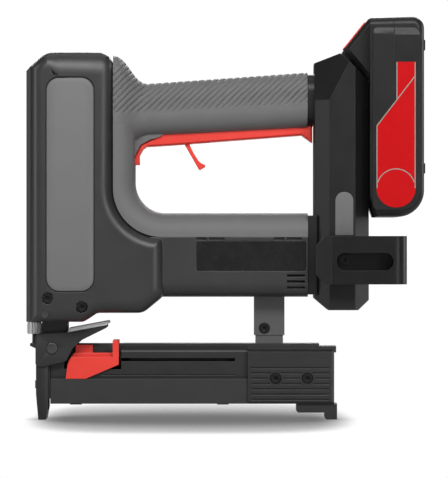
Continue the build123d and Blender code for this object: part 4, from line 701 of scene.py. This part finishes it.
# %% Cord ribs
RIB_PITCH = 4.0 * MM
RIB_DEPTH = 0.9 * MM
RIB_CUTS = (0.0, 0.12, 0.3, 0.7, 0.88)
RIB_FADE = 1.2 * MM
RIB_FRONT, RIB_BACK = 53 * MM, 160 * MM
GRIP_TOP = 215 * MM
OUTWARD = 0.25
EDGE_FRONT, EDGE_BACK = 184.8 * MM, 190.8 * MM
AXIS_FRONT, AXIS_BACK = 186.5 * MM, 192.5 * MM
rib_direction = Vector((1, 0, -1)).normalized()


def between(x, front, back):
    """A height on a line that runs along the handle."""
    return front + (back - front) * (x - RIB_FRONT) / (RIB_BACK - RIB_FRONT)


def ribbed(middle, normal):
    """Is a face with this middle and normal on the outside of the handle's upper half?"""
    outward = Vector((0, middle.y, middle.z - between(middle.x, AXIS_FRONT, AXIS_BACK)))
    above = middle.z > between(middle.x, EDGE_FRONT, EDGE_BACK)
    return above and normal.dot(outward.normalized()) > OUTWARD


def groove_depth(point):
    """How far a point of the ribbed zone is pushed in."""
    turn = (point.x - point.z) / RIB_PITCH % 1.0
    crown = abs(1 - 2 * turn)
    fade = (point.z - between(point.x, EDGE_FRONT, EDGE_BACK)) / RIB_FADE
    return RIB_DEPTH * (1 - math.sqrt(max(0.0, 1 - crown * crown))) * min(1.0, max(0.0, fade))


def cut_ribs(piece):
    """Cuts the ribbed zone by slanting planes and pushes its grooves in."""
    edit(piece)
    for lift in (0.0, RIB_FADE):
        start = Vector((RIB_FRONT, 0, EDGE_FRONT + lift))
        end = Vector((RIB_BACK, 0, EDGE_BACK + lift))
        bpy.ops.mesh.select_all(action="SELECT")
        across = (end - start).cross(Vector((0, 1, 0))).normalized()
        bpy.ops.mesh.bisect(plane_co=start, plane_no=across)
    pick(piece, ribbed)
    bpy.ops.mesh.hide(unselected=True)
    first = math.floor((RIB_FRONT - GRIP_TOP) / RIB_PITCH)
    last = math.ceil((RIB_BACK - EDGE_FRONT) / RIB_PITCH)
    for rib in range(first, last):
        for cut in RIB_CUTS:
            bpy.ops.mesh.select_all(action="SELECT")
            bpy.ops.mesh.bisect(plane_co=((rib + cut) * RIB_PITCH, 0, 0), plane_no=rib_direction)
    mesh = bmesh.from_edit_mesh(piece.data)
    mesh.normal_update()
    moves = []
    for point in mesh.verts:
        faces = [face for face in point.link_faces if not face.hide]
        if faces:
            out = sum((face.normal * face.calc_area() for face in faces), Vector())
            moves.append((point, out.normalized() * groove_depth(point.co)))
    for point, move in moves:
        point.co -= move
    bmesh.update_edit_mesh(piece.data)
    bpy.ops.mesh.reveal(select=False)
    bpy.ops.object.mode_set(mode="OBJECT")
    bpy.ops.object.shade_smooth_by_angle(angle=SMOOTH)
    return len(moves)


for side in ("left", "right"):
    grip = copy_of("grip_" + side, "ribbed_grip_" + side)
    pushed = cut_ribs(grip)
    stand_for(grip, "grip_" + side)
    print(grip.name, "points pushed in", pushed, "faces", len(grip.data.polygons))

# %% [markdown]
# ## Panel on the head
# The rubber panel on each side of the head is a pad glued into a shallow pocket, with a thin dark gap round
# it. Left flush it would read as paint. So a copy of the solid panel is drawn in from its pocket, its rim is
# lowered round a raised middle with Inset, and its edge is rounded with a Bevel modifier.

# %% Panel on the head
PANEL_GAP = 0.5 * MM
PANEL_RIM = 2.6 * MM
PANEL_DIP = 0.6 * MM
PANEL_EASE = 0.4 * MM

panel = copy_of("side_panels", "head_panels")
low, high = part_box("side_panels")
middle = (low + high) / 2
shrink = [(length - 2 * PANEL_GAP) / length for length in high - low]
edit(panel)
bpy.ops.mesh.select_all(action="SELECT")
bpy.ops.transform.resize(value=(shrink[0], 1, shrink[2]), center_override=middle)
pick(panel, lambda spot, normal: abs(normal.y) > FLAT and abs(spot.y) > high.y - NEAR)
bpy.ops.transform.resize(value=(1, 1 - PANEL_DIP / high.y, 1), center_override=middle)
bpy.ops.mesh.inset(thickness=PANEL_RIM)
bpy.ops.transform.resize(value=(1, high.y / (high.y - PANEL_DIP), 1), center_override=middle)
soften(panel, PANEL_EASE)
stand_for(panel, "side_panels")
print(panel.name, len(panel.data.polygons), "faces")

# %% [markdown]
# ## Soft crown of the head
# The side walls of the head roll over into its top more slowly than a plain fillet does, which spreads the
# light into a broad band above the panel. The moulder's tool has that shape milled in. Here both housing
# halves are copied, and the foot of the rounding is drawn down the wall until it is nearly twice as tall.
# Toward the front of the head this fades out, over a few cuts made with Bisect.

# %% Soft crown of the head
ROUNDING = 8.0 * MM
WALL_FACE = 31.0 * MM
CROWN_DROP = 6.0 * MM
CROWN_FOOT = 210 * MM
FADE_FRONT, FADE_BACK = 3 * MM, 11 * MM
FADE_CUTS = [cut * MM for cut in (3, 5, 7, 9, 11)]
HEAD_BACK = 43 * MM
TILT = 0.05


def ramp(value, start, end):
    """0 at the start, 1 at the end and beyond."""
    return min(1.0, max(0.0, (value - start) / (end - start)))


def reshape(piece, shift):
    """Moves each point of a piece by what a function gives for it."""
    edit(piece, "VERT")
    mesh = bmesh.from_edit_mesh(piece.data)
    mesh.normal_update()
    moves = [shift(point) for point in mesh.verts]
    for point, move in zip(mesh.verts, moves):
        point.co += move
    bmesh.update_edit_mesh(piece.data)
    bpy.ops.object.mode_set(mode="OBJECT")


def even_shading(piece):
    """Smooth shading that keeps large flat faces flat."""
    only(piece)
    bpy.ops.object.shade_smooth_by_angle(angle=SMOOTH)
    level = piece.modifiers.new("level", "WEIGHTED_NORMAL")
    level.keep_sharp = True
    bpy.ops.object.modifier_apply(modifier=level.name)


def roll_over(point):
    """Draws the foot of the head's top rounding down the outside of the wall."""
    x, y, z = point.co
    depth = WALL_FACE - abs(y)
    outside = any(face.normal.y * y > TILT * abs(y) or face.normal.z > TILT for face in point.link_faces)
    if depth > ROUNDING or z < CROWN_FOOT or x > HEAD_BACK or not outside:
        return Vector()
    climb = math.sqrt(max(0.0, 1 - (1 - depth / ROUNDING) ** 2))
    return Vector((0, 0, -CROWN_DROP * (1 - climb) * ramp(x, FADE_FRONT, FADE_BACK)))


for side in ("left", "right"):
    shell = copy_of("housing_" + side, "soft_housing_" + side, joined=False)
    edit(shell)
    for cut in FADE_CUTS:
        bpy.ops.mesh.select_all(action="SELECT")
        bpy.ops.mesh.bisect(plane_co=(cut, 0, 0), plane_no=(1, 0, 0))
    reshape(shell, roll_over)
    even_shading(shell)
    stand_for(shell, "housing_" + side)
    print(shell.name, len(shell.data.polygons), "faces")

# %% [markdown]
# ## Leaning front of the battery
# The pack's upper front leans back toward its top, with the red release button lying in the slope. The solid
# pack is steeper there. A copy of its front cover and one of the button are leaned together, by a shift that
# grows with height. It is the same over the whole depth of the button's pocket and ends at the face that
# meets the column, so that the button still has room to be pressed.

# %% Leaning front of the battery
LEAN_FOOT = 218.6 * MM
LEAN = 0.33
LEAN_FULL, LEAN_NONE = 193.9 * MM, 196.4 * MM


def lean(point):
    """How far a point of the pack's upper front is moved back."""
    rise = max(0.0, point.co.z - LEAN_FOOT)
    return Vector((LEAN * rise * ramp(point.co.x, LEAN_NONE, LEAN_FULL), 0, 0))


for node, name, slot in (
    ("battery_cover", "pack_cover", "black_plastic"),
    ("battery_button", "pack_button", "red_plastic"),
):
    piece = copy_of(node, name)
    reshape(piece, lean)
    even_shading(piece)
    stand_for(piece, node)
    print(piece.name, len(piece.data.polygons), "faces")

# %% [markdown]
# ## Nose hardware
# The lever that frees a jam is stamped from sheet, and its cheeks reach forward over the nose. The pins are
# turned with domed heads, and the contact foot narrows toward its tip. All are small, so copies of solid
# parts are pulled, bevelled and cut rather than modelled afresh.

# %% Lever and pins
CHEEK_ZONE, CHEEK_REACH = 2.05 * MM, 2.8 * MM
TIP_LENGTH, TIP_ROUND = 2.2 * MM, 0.5 * MM
ACROSS = 5 * MM
SHEET_EASE = 0.25 * MM
DOME, DOME_SMOOTH = 1.1 * MM, math.radians(50)

lever = copy_of("release_lever", "jam_lever")
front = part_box("release_lever")[0].x
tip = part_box("release_lever")[1].x - TIP_LENGTH
edit(lever, "VERT")
pick_points(lever, lambda spot: spot.x < front + CHEEK_ZONE)
bpy.ops.transform.translate(value=(-CHEEK_REACH, 0, 0))
pick_edges(lever, lambda one, other: min(one.x, other.x) > tip and abs(one.y - other.y) > ACROSS)
bpy.ops.mesh.bevel(offset=TIP_ROUND, segments=3, affect="EDGES", clamp_overlap=True)
soften(lever, SHEET_EASE, 2)
stand_for(lever, "release_lever")

pins = copy_of("nose_pins", "domed_pins")
edit(pins)
pick(pins, lambda spot, normal: abs(normal.y) > FLAT)
bpy.ops.mesh.bevel(offset=DOME, segments=5, affect="EDGES", clamp_overlap=True)
only(pins)
bpy.ops.object.shade_smooth_by_angle(angle=DOME_SMOOTH)
stand_for(pins, "nose_pins")
print(lever.name, len(lever.data.polygons), "faces;", pins.name, len(pins.data.polygons), "faces")

# %% Tapered foot
TAPER_TOP = Vector((3.3, 0, 9.9)) * MM
TAPER_FOOT = Vector((1.5, 0, 0)) * MM

foot = copy_of("contact_foot", "tapered_foot")
edit(foot)
bpy.ops.mesh.select_all(action="SELECT")
behind = (TAPER_FOOT - TAPER_TOP).cross(Vector((0, 1, 0))).normalized()
bpy.ops.mesh.bisect(plane_co=TAPER_TOP, plane_no=behind, use_fill=True, clear_outer=True)
soften(foot, SHEET_EASE, 2)
stand_for(foot, "contact_foot")
print(foot.name, len(foot.data.polygons), "faces")

# %% [markdown]
# ## Sheets behind openings
# Something dark stands behind each opening: a guide blade and two liners behind the pusher, a dark sheet
# behind each vent, and a rib in each top back corner of the head. Behind the pusher the white background
# would show through, and the ribs close a small opening in the housing's corners. The sheet behind each vent
# is painted
# shade: it covers the bare inside of the arm where there is only shade. Each is a thin block with one corner
# cut off by Bisect and its edges eased.

# %% Sheets behind openings
CORNER_CUT = 1.5 * MM
LINER_EASE = 0.15 * MM


def sheet(name, low, high):
    """An upright dark sheet between two corners, its upper front corner cut off and its edges eased."""
    deselect()
    low, high = Vector(low) * MM, Vector(high) * MM
    bpy.ops.mesh.primitive_cube_add(size=1, location=(low + high) / 2)
    piece = bpy.context.object
    piece.name = name
    piece.scale = high - low
    bpy.ops.object.transform_apply(location=True, rotation=True, scale=True)
    edit(piece)
    bpy.ops.mesh.select_all(action="SELECT")
    corner = (low.x + CORNER_CUT, 0, high.z)
    bpy.ops.mesh.bisect(plane_co=corner, plane_no=(-1, 0, 1), use_fill=True, clear_outer=True)
    soften(piece, LINER_EASE, 2)
    piece.data.materials.append(black_oxide)
    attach(piece, "frame")
    return piece


sheets = [
    sheet("guide_blade", (10.2, -0.5, 35.0), (52, 0.5, 45.8)),
    sheet("liner_low", (11.0, 6.7, 30.42), (52, 8.3, 35.0)),
    sheet("liner_high", (14.9, 6.7, 37.4), (52, 8.3, 45.8)),
    # The dark sheets behind the vents are painted shade over the bare inside.
    sheet("vent_shade_sheet_left", (145.2, -23.2, 78.4), (159.2, -22.4, 90.6)),
    sheet("crown_rib_left", (32, -24.0, 210), (39.6, -22.9, 218.3)),
    sheet("crown_rib_right", (32, 22.9, 210), (39.6, 24.0, 218.3)),
    sheet("vent_shade_sheet_right", (145.2, 22.4, 78.4), (159.2, 23.2, 90.6)),
]
print("sheets", [piece.name for piece in sheets])

# %% [markdown]
# ## Strip on the column
# The rubber strip in the column's side has a round top and a square foot. The solid strip is round at both
# ends, so the lowest points of a copy are scaled flat.

# %% Strip on the column
STRIP_FOOT = 111.4 * MM
STRIP_ROUND = 5.5 * MM
STRIP_EASE = 0.3 * MM

strips = copy_of("column_inserts", "column_strips")
edit(strips, "VERT")
pick_points(strips, lambda spot: spot.z < STRIP_FOOT + STRIP_ROUND)
bpy.ops.transform.resize(value=(1, 1, 0), center_override=(0, 0, STRIP_FOOT))
soften(strips, STRIP_EASE)
stand_for(strips, "column_inserts")
print(strips.name, len(strips.data.polygons), "faces")

# %% [markdown]
# ## Coil springs
# The main spring shortens as the hammer is wound up, and the magazine's spring as the pusher is drawn back.
# Each is a coil of wire with one end against a fixed seat. A smooth-shaded copy of each solid coil is shown
# in its place and moves with its body, but it is not flattened as the joint travels.

# %% Springs
for node, name, joint, axis, travel in (
    ("main_spring", "drive_coil", "hammer_lift", Vector((0, 0, 1)), 20 * MM),
    ("pusher_spring", "follower_coil", "pusher_slide", Vector((1, 0, 0)), 70 * MM),
):
    coil = copy_of(node, name, joined=False)
    bpy.ops.object.shade_smooth_by_angle(angle=SMOOTH)
    stand_for(coil, node)
    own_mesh(coil)

# %% [markdown]
# ## Label on the battery
# The pack carries a printed label with a straight top and a round foot, left without words here. A flat plane
# with a picture is the usual way. This one is a thin plate with real edges: a block is cut slantwise with
# Bisect, its top is extruded, and its foot corners are rounded with Bevel. Inset and two more cuts make the
# printed lines on its face, and a thin ring makes the arc over its foot.

# %% Battery label
LABEL_LEFT, LABEL_RIGHT = 200.1 * MM, 223.5 * MM
LABEL_STEP = 212.0 * MM
LABEL_FOOT, LABEL_TOP = 128.0 * MM, 214.9 * MM
SLANT_LOW, SLANT_HIGH = 176.9 * MM, 192.4 * MM
LABEL_THICK = 0.35 * MM
LABEL_SINK = 0.05 * MM
LABEL_ROUND = 11.6 * MM

label_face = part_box("battery_tray")[0].y
size = Vector((LABEL_RIGHT - LABEL_LEFT, LABEL_THICK, SLANT_HIGH - LABEL_FOOT))
corner = Vector((LABEL_LEFT, label_face - LABEL_THICK + LABEL_SINK, LABEL_FOOT))
deselect()
bpy.ops.mesh.primitive_cube_add(size=1, location=corner + size / 2)
label = bpy.context.object
label.name = "battery_label"
label.scale = size
bpy.ops.object.transform_apply(location=True, rotation=True, scale=True)
edit(label)
bpy.ops.mesh.select_all(action="SELECT")
slant = Vector((LABEL_STEP - LABEL_LEFT, 0, SLANT_HIGH - SLANT_LOW))
across = slant.cross(Vector((0, 1, 0))).normalized()
bpy.ops.mesh.bisect(plane_co=(LABEL_LEFT, 0, SLANT_LOW), plane_no=across, use_fill=True, clear_outer=True)
pick(label, lambda middle, normal: normal.z > FLAT)
rise = (0, 0, LABEL_TOP - SLANT_HIGH)
bpy.ops.mesh.extrude_region_move(TRANSFORM_OT_translate={"value": rise})
bpy.ops.mesh.select_all(action="SELECT")
bpy.ops.mesh.dissolve_limited(angle_limit=math.radians(1))
foot_end = LABEL_FOOT + NEAR
pick_edges(label, lambda one, other: max(one.z, other.z) < foot_end and abs(one.x - other.x) < NEAR)
bpy.ops.mesh.bevel(offset=LABEL_ROUND, segments=14)
bpy.ops.mesh.select_mode(type="FACE")
print("label plate", len(bmesh.from_edit_mesh(label.data).faces), "faces before its rim")

# %% Printed lines of the label
LINE_WIDE = 0.6 * MM
MARGIN = 2 * MM
ARC_MIDDLE = Vector((211.8 * MM, label_face - LABEL_THICK, 139.6 * MM))
ARC_INNER, ARC_OUTER = 11.1 * MM, 11.7 * MM
ARC_CHORD = 3.4 * MM
ARC_POINTS = 96
INK = 0.12 * MM

label_line, wire, place = start_finish("label_line")
direction = eased(wire, 0.1)
cloudy = speckle(place, 5, 3.0)
colour = mixed(cloudy, grey(0.20, 0.1), grey(0.25, 0.1))
complete(wire, colour, 0.36 + cloudy * 0.1, cloudy, 0.005, direction)
label_red, wire, place = start_finish("label_red")
direction = eased(wire, 0.1)
cloudy = speckle(place, 12, 3.0)
screen = speckle(place, 0.25)
colour = mixed(cloudy, (0.42, 0.001, 0.003, 1), (0.47, 0.002, 0.004, 1))
complete(wire, colour, 0.36 + cloudy * 0.1, screen, 0.006, direction, Specular_IOR_Level=0.12)
label.data.materials.append(label_red)
label.data.materials.append(label_line)


def inner_face(middle, normal):
    """Is this the front face inside the rim?"""
    return normal.y < -FLAT and LABEL_LEFT + MARGIN < middle.x < LABEL_RIGHT - MARGIN


pick(label, lambda middle, normal: normal.y < -FLAT)
bpy.ops.mesh.inset(thickness=LINE_WIDE)
for shift in (0, -LINE_WIDE):
    pick(label, inner_face)
    bpy.ops.mesh.bisect(plane_co=Vector((LABEL_LEFT, 0, SLANT_LOW)) + across * shift, plane_no=across)


def printed(middle, normal):
    """Is this front face part of the rim's sides or of the slanting line?"""
    rim = not LABEL_LEFT + LINE_WIDE < middle.x < LABEL_RIGHT - LINE_WIDE and middle.z > ARC_MIDDLE.z
    step = LABEL_STEP < middle.x < LABEL_STEP + LINE_WIDE and middle.z > SLANT_HIGH
    line = -LINE_WIDE < (middle - Vector((LABEL_LEFT, 0, SLANT_LOW))).dot(across) < 0
    return normal.y < -FLAT and (rim or step or line)


pick(label, printed)
label.active_material_index = 1
bpy.ops.object.material_slot_assign()
bpy.ops.object.mode_set(mode="OBJECT")
print("label lines on", sum(face.material_index for face in label.data.polygons), "faces")

# %% Arc over the label's foot
deselect()
upright = (math.pi / 2, 0, 0)
bpy.ops.mesh.primitive_circle_add(
    vertices=ARC_POINTS, radius=ARC_OUTER, location=ARC_MIDDLE, rotation=upright
)
arc = bpy.context.object
arc.name = "label_arc"
bpy.ops.object.transform_apply(location=True, rotation=True, scale=True)
edit(arc, "EDGE")
bpy.ops.mesh.select_all(action="SELECT")
bpy.ops.mesh.extrude_edges_move()
bpy.ops.transform.resize(value=(ARC_INNER / ARC_OUTER,) * 3, center_override=ARC_MIDDLE)
bpy.ops.mesh.select_all(action="SELECT")
low = ARC_MIDDLE + Vector((0, 0, ARC_CHORD))
bpy.ops.mesh.bisect(plane_co=low, plane_no=(0, 0, 1), clear_inner=True)
bpy.ops.mesh.select_all(action="SELECT")
bpy.ops.mesh.normals_make_consistent(inside=False)
bpy.ops.object.mode_set(mode="OBJECT")
thick = arc.modifiers.new("ink", "SOLIDIFY")
thick.thickness, thick.offset = INK, 0
bpy.ops.object.modifier_apply(modifier="ink")
arc.data.materials.append(label_line)
for piece in (label, arc):
    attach(piece, "battery")
print("arc", len(arc.data.polygons), "faces")

# %% [markdown]
# ## Sizes
# Dressing should not make the tool larger. The outer boxes of the solid and of the dressed model are kept
# side by side in one table, and the dressed one is printed.

# %% Sizes
BOXES = {"cad": CAD_BOX, "visual": [list(corner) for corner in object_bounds()]}
lowest, highest = BOXES["visual"]
print("visual model from", [round(v, 4) for v in lowest], "to", [round(v, 4) for v in highest])
